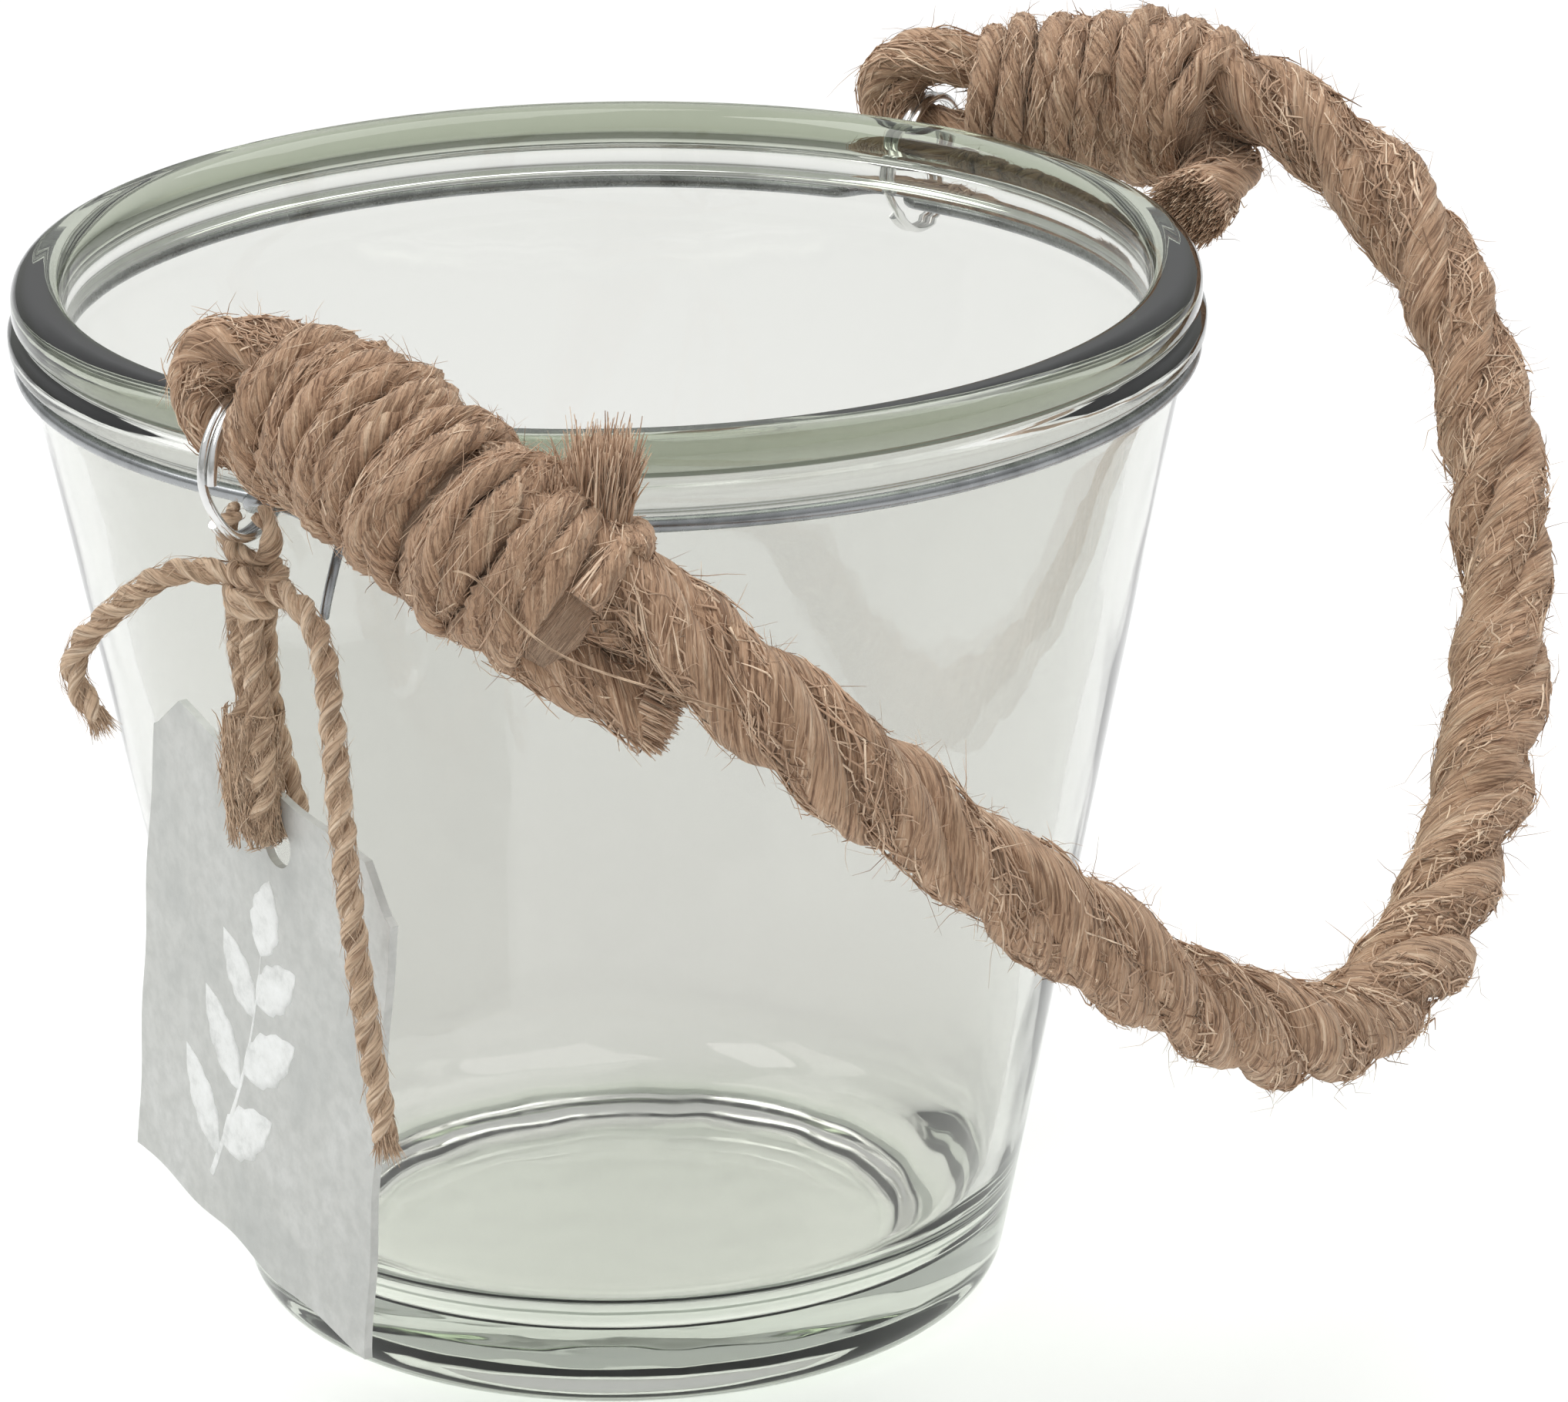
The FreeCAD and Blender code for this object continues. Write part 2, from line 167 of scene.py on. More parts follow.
class Heap:
    """Gathers many small tubes into one mesh."""

    def __init__(self):
        self.vertices, self.straight, self.faces, self.count = [], [], [], 0

    def add(self, vertices, faces, straight):
        self.vertices.append(vertices)
        self.straight.append(straight)
        self.faces += faces
        self.count += len(vertices)

    def tube(self, path, radius, sides=16, twist=0.0, seed=0.0, grain=0.12, squeeze=1.0):
        """A yarn along the path. radius may be a function of the length along it."""
        s = path.s
        size = radius(s) if callable(radius) else np.full(len(s), radius)
        angle = np.linspace(0.0, TURN, sides, endpoint=False)
        grid_s, grid_angle = np.meshgrid(s, angle, indexing="ij")
        drift = grid_angle + twist * grid_s
        rough = groove(drift, grid_s, seed)
        reach = size[:, None] * (1.0 + grain * rough)
        flat = np.sqrt(np.cos(grid_angle) ** 2 * squeeze ** 2 + np.sin(grid_angle) ** 2)
        outward = path.around(grid_s, grid_angle)
        vertices = path.at(grid_s) + outward * (reach * flat)[..., None]
        straight = np.stack([np.cos(drift) * size[:, None], np.sin(drift) * size[:, None],
                             grid_s + GRAIN_SHIFT * seed], axis=-1)
        faces = tube_faces(len(s), sides, self.count)
        self.add(vertices.reshape(-1, 3), faces, straight.reshape(-1, 3))

    def hairs(self, lines, thickness, seed):
        """Thin tapering three-sided fibres. lines has shape (fibres, points, 3)."""
        fibres, places = lines.shape[:2]
        along = unit(np.gradient(lines, axis=1))
        random = np.random.default_rng(seed)
        side = unit(np.cross(along, random.normal(size=(fibres, 1, 3))))
        other = np.cross(along, side)
        taper = 1.0 - 0.75 * np.linspace(0.0, 1.0, places) ** 1.5
        wide = thickness.reshape(-1, 1) * taper[None, :]
        corners = []
        for k in range(3):
            angle = TURN * k / 3.0
            outward = math.cos(angle) * side + math.sin(angle) * other
            corners.append(lines + wide[..., None] * outward)
        vertices = np.stack(corners, axis=2).reshape(-1, 3)
        tone = random.uniform(0.0, 40.0, size=(fibres, 1))
        straight = np.zeros((fibres, places, 3, 3))
        straight[..., 0] = tone[:, :, None]
        straight[..., 2] = np.linspace(0.0, 3.0, places)[None, :, None] + tone[:, :, None] * 7.0
        faces = []
        for fibre in range(fibres):
            faces += tube_faces(places, 3, self.count + fibre * places * 3)
        self.add(vertices, faces, straight.reshape(-1, 3))

    def build(self, name, material):
        return add_mesh(name, np.concatenate(self.vertices), self.faces, material,
                        np.concatenate(self.straight))


WAVES = np.random.default_rng(4).uniform(0.0, 1.0, size=(16, 4))
GRAIN_SHIFT = 37.0  # millimetres along the grain between one yarn's streaks and the next one's


def groove(angle, s, seed):
    """Long irregular grooves along a yarn, about -1 to 1."""
    total = np.zeros_like(angle)
    for k, (a, b, c, d) in enumerate(WAVES):
        lobes = 2 + k // 2
        slow = (0.08 + 0.5 * a) * (1 if b > 0.5 else -1)
        phase = TURN * (c + 0.37 * seed * (k + 1))
        swell = 0.6 + 0.4 * np.sin(s * (0.25 + 0.5 * d) + phase * 3.1)
        total += swell * np.sin(lobes * angle + slow * s + phase) / (1.0 + 0.35 * lobes)
    return total / 2.2


# ---------------------------------------------------------------- materials
def new_material(name):
    material = bpy.data.materials.new(name)
    material.use_nodes = True
    tree = material.node_tree
    shader = next(node for node in tree.nodes if node.type == "BSDF_PRINCIPLED")
    return material, tree, shader


def node(tree, kind, **values):
    made = tree.nodes.new(kind)
    for key, value in values.items():
        if key.startswith("in_"):
            made.inputs[key[3:].replace("_", " ")].default_value = value
        else:
            setattr(made, key, value)
    return made


def ramp(tree, source, stops):
    made = tree.nodes.new("ShaderNodeValToRGB")
    while len(made.color_ramp.elements) < len(stops):
        made.color_ramp.elements.new(0.5)
    for element, (place, colour) in zip(made.color_ramp.elements, stops):
        element.position = place
        element.color = (*colour, 1.0)
    tree.links.new(source, made.inputs["Fac"])
    return made.outputs["Color"]


def object_place(tree):
    return node(tree, "ShaderNodeTexCoord").outputs["Object"]


def noise(tree, vector, scale, detail, roughness, stretch=None, distortion=0.0):
    if stretch is not None:
        mapping = node(tree, "ShaderNodeMapping")
        mapping.inputs["Scale"].default_value = stretch
        tree.links.new(vector, mapping.inputs["Vector"])
        vector = mapping.outputs["Vector"]
    made = node(tree, "ShaderNodeTexNoise", in_Scale=scale, in_Detail=detail,
                in_Roughness=roughness, in_Distortion=distortion)
    tree.links.new(vector, made.inputs["Vector"])
    return made.outputs["Fac"]


def mix_colours(tree, factor, first, second, mode="MIX"):
    made = node(tree, "ShaderNodeMix", data_type="RGBA", blend_type=mode)
    factor_in, first_in, second_in = (made.inputs[k] for k in (0, 6, 7))
    for socket, value in ((factor_in, factor), (first_in, first), (second_in, second)):
        if isinstance(value, bpy.types.NodeSocket):
            tree.links.new(value, socket)
        elif isinstance(value, (int, float)):
            socket.default_value = value
        else:
            socket.default_value = (*value, 1.0)
    return made.outputs[2]


def bump(tree, shader, height, strength, distance):
    made = node(tree, "ShaderNodeBump", in_Strength=strength, in_Distance=distance)
    tree.links.new(height, made.inputs["Height"])
    tree.links.new(made.outputs["Normal"], shader.inputs["Normal"])


def vary_roughness(tree, shader, source, **limits):
    """Roughness that follows a value from 0 to 1 between limits."""
    made = node(tree, "ShaderNodeMapRange", **limits)
    tree.links.new(source, made.inputs["Value"])
    tree.links.new(made.outputs["Result"], shader.inputs["Roughness"])


def fibre_material(name, dark, middle, light, hue_shift=(0.42, 0.27, 0.17), loose=False):
    """Plant fibre: streaks and patches of tone along a yarn, darkened by painted shade in the
    hollows of its fine bump, or one tone for each loose fibre.
    """
    material, tree, shader = new_material(name)
    straight = node(tree, "ShaderNodeAttribute", attribute_name="straight").outputs["Vector"]
    fine = noise(tree, straight, 3.2, 3.0, 0.65, stretch=(1.0, 1.0, 0.10))
    if loose:
        split = node(tree, "ShaderNodeSeparateXYZ")
        tree.links.new(straight, split.inputs[0])
        tone = node(tree, "ShaderNodeTexWhiteNoise", noise_dimensions="1D")
        tree.links.new(split.outputs["X"], tone.inputs["W"])
        final = ramp(tree, tone.outputs["Value"],
                     [(0.08, dark), (0.32, middle), (0.68, middle), (0.95, light)])
    else:
        streaks = noise(tree, straight, 1.25, 5.0, 0.72, stretch=(1.0, 1.0, 0.13), distortion=0.9)
        patches = noise(tree, straight, 0.55, 2.0, 0.5, stretch=(1.0, 1.0, 0.35))
        colour = ramp(tree, streaks, [(0.38, dark), (0.47, middle), (0.54, middle), (0.63, light)])
        patchy = ramp(tree, patches, [(0.35, (0, 0, 0)), (0.7, (0.5, 0.5, 0.5))])
        tinted = mix_colours(tree, patchy, colour, hue_shift)
        # painted shade: darkens the colour where the fine bump noise is low, in the hollows of the
        # bump
        painted_hollow_shade = ramp(tree, fine, [(0.38, (0.50, 0.46, 0.43)), (0.52, (1.0, 1.0, 1.0))])
        final = mix_colours(tree, 1.0, tinted, painted_hollow_shade, "MULTIPLY")
    tree.links.new(final, shader.inputs["Base Color"])
    shader.inputs["Roughness"].default_value = 0.82
    shader.inputs["Specular IOR Level"].default_value = 0.25
    shader.inputs["Sheen Weight"].default_value = 0.35
    shader.inputs["Sheen Roughness"].default_value = 0.45
    shader.inputs["Sheen Tint"].default_value = (0.95, 0.84, 0.70, 1.0)
    bump(tree, shader, fine, 0.8, 0.0006)
    return material


def steel_material(name, colour, roughness, grime):
    """Drawn wire: fine marks, a little dulling and dark spots."""
    material, tree, shader = new_material(name)
    place = object_place(tree)
    marks = noise(tree, place, 900.0, 4.0, 0.6)
    dull = noise(tree, place, 160.0, 3.0, 0.6)
    base = ramp(tree, dull, [(0.30, tuple(c * grime for c in colour)), (0.55, colour)])
    tree.links.new(base, shader.inputs["Base Color"])
    vary_roughness(tree, shader, marks, in_To_Min=roughness * 0.7, in_To_Max=roughness * 1.6)
    shader.inputs["Metallic"].default_value = 1.0
    bump(tree, shader, marks, 0.12, 0.0001)
    return material


PAINTED_SHADE_SCALE = 10.0  # turns the jar's height of 0.1 m into 0 to 1 for the painted shade along the glass


def glass_material(name):
    """Clear pressed glass, faintly green, with painted shade by height in its colour; shadow rays
    pass straight through.
    """
    material, tree, shader = new_material(name)
    output = next(n for n in tree.nodes if n.type == "OUTPUT_MATERIAL")
    place = object_place(tree)
    waves = noise(tree, place, 55.0, 2.0, 0.5, stretch=(1.0, 1.0, 0.45))
    pits = noise(tree, place, 700.0, 2.0, 0.5)
    height = node(tree, "ShaderNodeSeparateXYZ")
    tree.links.new(place, height.inputs[0])
    level = node(tree, "ShaderNodeMath", operation="MULTIPLY")
    level.inputs[1].default_value = PAINTED_SHADE_SCALE
    tree.links.new(height.outputs["Z"], level.inputs[0])
    # painted shade and light by height: lighter at the foot, greyed up the walls, and a dark green
    # band painted at the rim, standing in for how the glass is lit
    painted_shade_by_height = ramp(tree, level.outputs[0], [
        (0.05, (0.90, 0.885, 0.875)), (0.14, (0.775, 0.77, 0.75)),
        (0.957, (0.775, 0.775, 0.75)), (0.970, (0.36, 0.39, 0.30)),
    ])
    tree.links.new(painted_shade_by_height, shader.inputs["Base Color"])
    shader.inputs["Transmission Weight"].default_value = 1.0
    shader.inputs["IOR"].default_value = 1.51
    vary_roughness(tree, shader, pits, in_From_Min=0.35, in_From_Max=0.75, in_To_Min=0.0,
                   in_To_Max=0.06)
    bump(tree, shader, waves, 0.25, 0.0012)
    body = node(tree, "ShaderNodeVolumeAbsorption", in_Color=(0.55, 0.63, 0.50, 1.0),
                in_Density=14.0)
    clear = node(tree, "ShaderNodeBsdfTransparent", in_Color=(0.90, 0.93, 0.90, 1.0))
    ray = node(tree, "ShaderNodeLightPath")
    either = node(tree, "ShaderNodeMixShader")
    tree.links.new(ray.outputs["Is Shadow Ray"], either.inputs[0])
    tree.links.new(shader.outputs[0], either.inputs[1])
    tree.links.new(clear.outputs[0], either.inputs[2])
    tree.links.new(either.outputs[0], output.inputs["Surface"])
    tree.links.new(body.outputs[0], output.inputs["Volume"])
    return material


def zinc_material(name):
    """Weathered zinc sheet: soft grey bloom, small crystals and fine scratches."""
    material, tree, shader = new_material(name)
    place = object_place(tree)
    bloom = noise(tree, place, 90.0, 5.0, 0.62, distortion=0.4)
    fine = noise(tree, place, 620.0, 4.0, 0.65)
    scratch = noise(tree, place, 60.0, 3.0, 0.5, stretch=(1.0, 1.0, 22.0))
    base = ramp(tree, bloom, [(0.30, (0.50, 0.51, 0.49)), (0.5, (0.58, 0.585, 0.56)),
                              (0.72, (0.66, 0.665, 0.645))])
    speckled = mix_colours(tree, ramp(tree, fine, [(0.35, (0.35, 0.35, 0.35)), (0.6, (0, 0, 0))]),
                           base, (0.40, 0.41, 0.39))
    tree.links.new(speckled, shader.inputs["Base Color"])
    shader.inputs["Metallic"].default_value = 0.35
    vary_roughness(tree, shader, bloom, in_To_Min=0.42, in_To_Max=0.68)
    height = node(tree, "ShaderNodeMath", operation="ADD")
    tree.links.new(fine, height.inputs[0])
    tree.links.new(scratch, height.inputs[1])
    bump(tree, shader, height.outputs[0], 0.22, 0.00018)
    return material


def paint_material(name):
    """Thin chalky white paint, worn so that the metal greys it."""
    material, tree, shader = new_material(name)
    place = object_place(tree)
    wear = noise(tree, place, 380.0, 5.0, 0.7)
    brush = noise(tree, place, 260.0, 3.0, 0.6, stretch=(1.0, 1.0, 0.2))
    base = ramp(tree, wear, [(0.30, (0.64, 0.65, 0.63)), (0.50, (0.80, 0.81, 0.79)),
                             (0.70, (0.88, 0.89, 0.875))])
    tree.links.new(base, shader.inputs["Base Color"])
    shader.inputs["Roughness"].default_value = 0.8
    bump(tree, shader, brush, 0.3, 0.0001)
    return material


GLASS = glass_material("pressed_glass")
NECK_STEEL = steel_material("neck_wire_steel", (0.34, 0.35, 0.36), 0.24, 0.55)
RING_STEEL = steel_material("ring_nickel", (0.80, 0.80, 0.79), 0.16, 0.75)
JUTE_DARK, JUTE = (0.19, 0.095, 0.052), (0.53, 0.335, 0.215)
ROPE = fibre_material("jute_rope", JUTE_DARK, JUTE, (0.80, 0.60, 0.43))
FUZZ = fibre_material("jute_fuzz", (0.24, 0.135, 0.08), (0.55, 0.365, 0.245), (0.88, 0.69, 0.51),
                      loose=True)
YARN = fibre_material("jute_yarn", JUTE_DARK, JUTE, (0.78, 0.58, 0.41))
TWINE = fibre_material("jute_twine", (0.34, 0.21, 0.135), (0.72, 0.53, 0.37), (0.92, 0.75, 0.58),
                       hue_shift=(0.62, 0.44, 0.30))
ZINC = zinc_material("zinc_sheet")
PAINT = paint_material("chalk_paint")


# ---------------------------------------------------------------- glass jar
FOOT_LINE = 35.4
WALL_TAPER = 0.194
GLASS_WALL = 3.25
NECK_LEVEL = 91.0
MOUTH_RADIUS = 49.8
INNER_FLOOR = 7.0
FLOOR_ROUND = 9.0
HEEL = 4.0
RIM_ROUND = 2.0
RIM_CENTRE = 98.0
OUTSIDE_WALL = range(10, 60)  # points of the section on the outside wall
WAVE_SPAN = 88.0
SEAMS = (math.radians(-53.0), math.radians(127.0))
SEAM_RISE = 0.14
SEAM_WIDTH = 0.42


def arc(centre, radius, first, last, count):
    """Points of a rounding in the jar's section, as (radius, height)."""
    angles = np.radians(np.linspace(first, last, count))
    return [(centre[0] + radius * math.cos(a), centre[1] + radius * math.sin(a)) for a in angles]


def outside_wall(height):
    return FOOT_LINE + WALL_TAPER * height


def jar_section():
    """The jar's section from the middle of the underside, round the outside, to the inner floor."""
    slope = math.degrees(math.atan(WALL_TAPER))
    section = [(0.0, 2.2), (8.0, 2.2), (16.0, 2.2), (23.0, 2.15), (26.0, 1.95), (28.0, 1.0),
               (29.0, 0.35), (29.8, 0.08), (30.6, 0.0)]
    heel_x = outside_wall(HEEL) - HEEL / math.cos(math.radians(slope))
    section += arc((heel_x, HEEL), HEEL, -90.0, -slope, 9)
    section += [(outside_wall(z), z) for z in np.linspace(5.5, NECK_LEVEL - 0.6, 44)]
    neck = outside_wall(NECK_LEVEL)
    section += [(neck - 0.02, NECK_LEVEL), (neck - 0.02, 92.5), (neck + 0.15, 93.0),
                (neck + 0.6, 93.22), (54.5, 93.4), (54.85, 93.6), (55.0, 93.95), (55.0, 94.9),
                (54.85, 95.25), (54.4, 95.6), (54.05, 95.9), (53.95, 96.15), (54.1, 96.4),
                (54.45, 96.7), (54.6, 97.0)]
    section += arc((52.6, RIM_CENTRE), RIM_ROUND, 0.0, 90.0, 9)
    section += arc((51.8, RIM_CENTRE), RIM_ROUND, 90.0, 180.0, 9)
    section += [(MOUTH_RADIUS, z) for z in (97.2, 96.0, 94.5, 93.0, 92.0)]
    section += [(outside_wall(z) - GLASS_WALL, z) for z in np.linspace(NECK_LEVEL - 0.4, 17.0, 38)]
    round_z = INNER_FLOOR + FLOOR_ROUND
    round_x = outside_wall(round_z) - GLASS_WALL - FLOOR_ROUND / math.cos(math.radians(slope))
    section += arc((round_x, round_z), FLOOR_ROUND, -slope, -90.0, 14)
    section += [(22.0, 6.85), (18.8, 6.6), (14.0, 6.55), (7.0, 6.5), (0.0, 6.5)]
    return section


def make_jar():
    section = jar_section()
    around = 192
    angles = np.linspace(0.0, TURN, around, endpoint=False)
    inner = len(section) // 2 + 8
    vertices = []
    for index, (radius, height) in enumerate(section[1:-1]):
        rising = 0.0
        on_outside_wall = index in OUTSIDE_WALL
        inside_phase = 2.0 if index > inner else 0.0
        if on_outside_wall or index > inner:
            rising = math.sin(math.pi * min(1.0, height / WAVE_SPAN))
        wavy = 0.10 * rising * (
            np.sin(2 * angles + 0.045 * height) + 0.6 * np.sin(5 * angles - 0.09 * height)
            + 0.35 * np.sin(9 * angles + 0.17 * height + inside_phase))
        seam = np.zeros_like(angles)
        if on_outside_wall and 5.0 < height < 90.0:
            for place in SEAMS:
                off = (angles - place + math.pi) % TURN - math.pi
                seam += SEAM_RISE * np.exp(-(off * radius / SEAM_WIDTH) ** 2)
        reach = radius + wavy * (0.5 if on_outside_wall else 1.0) + seam
        vertices.append(np.stack([reach * np.cos(angles), reach * np.sin(angles),
                                  np.full(around, height)], axis=-1))
    count = len(vertices)
    vertices = np.concatenate(vertices).tolist()
    faces = wall_faces(count, around)
    last = (count - 1) * around
    under, floor = len(vertices), len(vertices) + 1
    vertices += [(0.0, 0.0, section[0][1]), (0.0, 0.0, section[-1][1])]
    for k in range(around):
        after = (k + 1) % around
        faces += [(under, after, k), (floor, last + k, last + after)]
    jar = add_mesh("jar_glass_body", np.array(vertices), faces, GLASS)
    assign(jar, "jar", "glass_jar")


# ---------------------------------------------------------------- rope handle
FRONT_EYE = np.array([0.0, -62.0, 104.5])
REAR_EYE = np.array([0.0, 64.0, 99.0])
HANDLE_Y = unit(REAR_EYE - FRONT_EYE)
HANDLE_Z = np.cross((1.0, 0.0, 0.0), HANDLE_Y)
HALF_AXIS = np.linalg.norm(REAR_EYE - FRONT_EYE) / 2.0

FRONT_WHIPPING = [(5.6, -63.7, -0.2), (20, -69, -3.2), (30, -70.7, -7.5), (39, -69.6, -12.5)]
REAR_WHIPPING = [(4.3, 64.0, -0.1), (13, 66.8, 1.0), (21.5, 69.0, 1.2), (28.5, 69.8, 0.3)]
ROPE_BOW = [
    (52.5, -66, -18.7), (61, -59, -28), (69.5, -49, -38.5), (75.5, -35, -49.3), (79.8, -8, -60),
    (77, 22, -54), (72.4, 41, -41.8), (61.5, 59, -19.6), (52, 66, -9),
]
FRONT_CUT_END = (43.5, -68.0, -19.5)
REAR_CUT_END = (30.5, 59.0, -6.5)
STRAND_OFFSET = 3.2
TAIL_OFFSET = 4.4
EYE_RADIUS = 4.2
ROPE_PITCH = 36.0
TAIL_ROPE, EYE_ROPE, BOW_ROPE = 4.0, 2.7, 4.6  # radii of the rope
STRAND_CENTRE = 0.42  # share of the rope's radius
STRAND_RADIUS = 0.58  # share of the rope's radius
FIBRE_LAY = 0.62
FIBRE_CIRCLE = 4.2


def in_part_frame(places):
    """Handle-frame points to the part's frame."""
    places = np.asarray(places, float)
    middle = (FRONT_EYE + REAR_EYE) / 2.0
    return (middle + places[..., :1] * np.array([1.0, 0.0, 0.0]) + places[..., 1:2] * HANDLE_Y
            + places[..., 2:3] * HANDLE_Z)


def beside(places, fraction, offset):
    """A point beside a whipping's middle line, offset upwards."""
    curve = Path(spline(places, 0.4))
    s = np.array([fraction * curve.length])
    along = curve.along(s)[0]
    up = unit(np.array([0.0, 0.0, 1.0]) - along * along[2])
    return curve.at(s)[0] + up * offset


def rope_points():
    """The whole rope: front cut end, front eye, bow, rear eye and rear cut end."""
    def end(side, places, cut_end):
        upper = [beside(places, f, STRAND_OFFSET) for f in (1.0, 0.75, 0.5, 0.25)]
        tail = [beside(places, f, -TAIL_OFFSET) for f in (0.25, 0.5, 0.75, 1.0)]
        eye = [(EYE_RADIUS * math.cos(math.radians(a)), side * HALF_AXIS,
                EYE_RADIUS * math.sin(math.radians(a))) for a in (80, 125, 180, 235, 280)]
        return upper + eye + tail + [cut_end]
    front = end(-1, FRONT_WHIPPING, FRONT_CUT_END)
    rear = end(1, REAR_WHIPPING, REAR_CUT_END)
    return [tuple(p) for p in front[::-1]] + ROPE_BOW + [tuple(p) for p in rear]


ROPE_PATH = Path(in_part_frame(spline(rope_points(), 0.45)), up=(1.0, 0.0, 0.2))


def nearest_length(path, place):
    return path.s[np.argmin(np.linalg.norm(path.points - in_part_frame(place), axis=1))]


FRONT_THIN_TO = nearest_length(ROPE_PATH, beside(FRONT_WHIPPING, 0.3, STRAND_OFFSET))
FRONT_THICK_FROM = nearest_length(ROPE_PATH, beside(FRONT_WHIPPING, 0.75, STRAND_OFFSET))
REAR_THICK_TO = nearest_length(ROPE_PATH, beside(REAR_WHIPPING, 0.75, STRAND_OFFSET))
REAR_THIN_FROM = nearest_length(ROPE_PATH, beside(REAR_WHIPPING, 0.3, STRAND_OFFSET))


def rope_size(s):
    """Outer radius of the rope along its length: thin in the eyes and tails, thick in the bow."""
    size = np.interp(s, [0.0, FRONT_THIN_TO, FRONT_THICK_FROM, REAR_THICK_TO, REAR_THIN_FROM,
                         ROPE_PATH.length],
                     [TAIL_ROPE, EYE_ROPE, BOW_ROPE, BOW_ROPE, EYE_ROPE, TAIL_ROPE])
    swell = 0.10 * np.sin(s * 0.21) + 0.08 * np.sin(s * 0.47 + 1.0) + 0.07 * np.sin(s * 0.83 + 2.0)
    return size * (1.0 + 0.5 * swell)


def strand_path(number):
    s = ROPE_PATH.s
    angle = TURN * (number / 3.0 + s / ROPE_PITCH) + 0.25 * np.sin(s * 0.13 + number)
    return Path(ROPE_PATH.at(s)
                + ROPE_PATH.around(s, angle) * (rope_size(s) * STRAND_CENTRE)[:, None])


def rope_surface(s, angle, lift):
    """A point on the rope's outside."""
    strand_angle = TURN * s / ROPE_PITCH
    off = (angle - strand_angle + TURN / 6.0) % (TURN / 3.0) - TURN / 6.0
    size = rope_size(s)
    centre, radius = STRAND_CENTRE * size, STRAND_RADIUS * size
    reach = centre * np.cos(off)
    reach = reach + np.sqrt(np.maximum(radius ** 2 - (centre * np.sin(off)) ** 2, 0.0))
    return ROPE_PATH.at(s) + ROPE_PATH.around(s, angle) * (reach + lift)[..., None]


def make_rope():
    for number in range(3):
        heap = Heap()
        path = strand_path(number)
        size = rope_size(ROPE_PATH.s)

        def radius(s, path=path, size=size):
            blunt = np.sqrt(0.25 + 0.75 * from_ends(path, s, 1.6))
            return STRAND_RADIUS * np.interp(s, path.s, size) * blunt

        heap.tube(path, radius, sides=24, twist=-0.34, seed=number + 1.0,
                  grain=0.13)
        strand = heap.build("rope_strand_%d" % (number + 1), ROPE)
        assign(strand, "handle", "handle_rope" if number == 0 else None)
    rope_fibres("rope_surface_fibres_1", 4500, 21, (3.0, 8.0), 0.15, 0.24)
    rope_fibres("rope_surface_fibres_2", 4500, 24, (2.0, 5.0), 0.12, 0.45)
    rope_fibres("rope_loose_hairs", 3400, 22, (1.5, 4.5), 0.05, 1.3)


def rope_fibres(name, count, seed, lengths, thickness, stand):
    """Fibres that follow the lay of the rope; stand is how far their ends leave it."""
    random = np.random.default_rng(seed)
    places = 5
    s0 = random.uniform(1.0, ROPE_PATH.length - 1.0, count)
    a0 = random.uniform(0.0, TURN, count)
    length = random.uniform(lengths[0], lengths[1], count)
    heading = random.choice([-1.0, 1.0], count)
    lying = stand < 1.0
    slip = random.normal(0.0, 0.5 if lying else 0.9, count)
    t = np.linspace(0.0, 1.0, places)[None, :]
    run = heading[:, None] * length[:, None] * t
    s = np.clip(s0[:, None] + run * np.cos(slip)[:, None], 0.0, ROPE_PATH.length)
    height = random.normal(0.0, 0.16, (count, 1))
    wave = height * np.sin(TURN * t * random.uniform(0.5, 1.5, (count, 1)))
    lay = FIBRE_LAY * TURN / ROPE_PITCH
    angle = a0[:, None] + lay * run + np.sin(slip)[:, None] * run / FIBRE_CIRCLE + wave
    rise = np.abs(random.normal(0.0, 1.0, (count, 1))) * stand
    lift = 0.02 + rise * t ** 1.6 + (0.12 if lying else 0.0) * np.sin(math.pi * t)
    lines = rope_surface(s, angle, lift - 0.10)
    drift = random.normal(0.0, 1.0, (count, 1, 3)) * (t[..., None] ** 2) * (0.55 * stand)
    heap = Heap()
    heap.hairs(lines + drift, random.uniform(0.6, 1.3, count) * thickness, seed + 50)
    assign(heap.build(name, FUZZ), "handle")


# ---------------------------------------------------------------- yarn windings
WINDING_STEP = 0.5


def winding(core, start, stop, pitch, radius, lean, seed):
    """A helix of yarn round a core path, with uneven turns that lean along the core."""
    random = np.random.default_rng(seed)
    turns = abs(stop - start) / pitch
    u = np.linspace(0.0, turns, int(turns * TURN * radius / WINDING_STEP))
    bumps = random.uniform(0.0, TURN, 6)
    uneven = sum(np.sin(u * (0.9 + 0.8 * k) + bumps[k]) / (k + 2.0) for k in range(6))
    s = start + (stop - start) * u / turns + 0.32 * pitch * uneven * 0.6
    angle = TURN * u + bumps[0]
    s = s + lean * np.cos(angle)
    reach = radius + 0.30 * np.sin(u * 2.3 + bumps[1]) + 0.25 * np.sin(u * 5.1 + bumps[2])
    s = np.clip(s, 0.3, core.length - 0.3)
    return Path(core.at(s) + core.around(s, angle) * reach[:, None], up=(0.3, 0.2, 1.0))


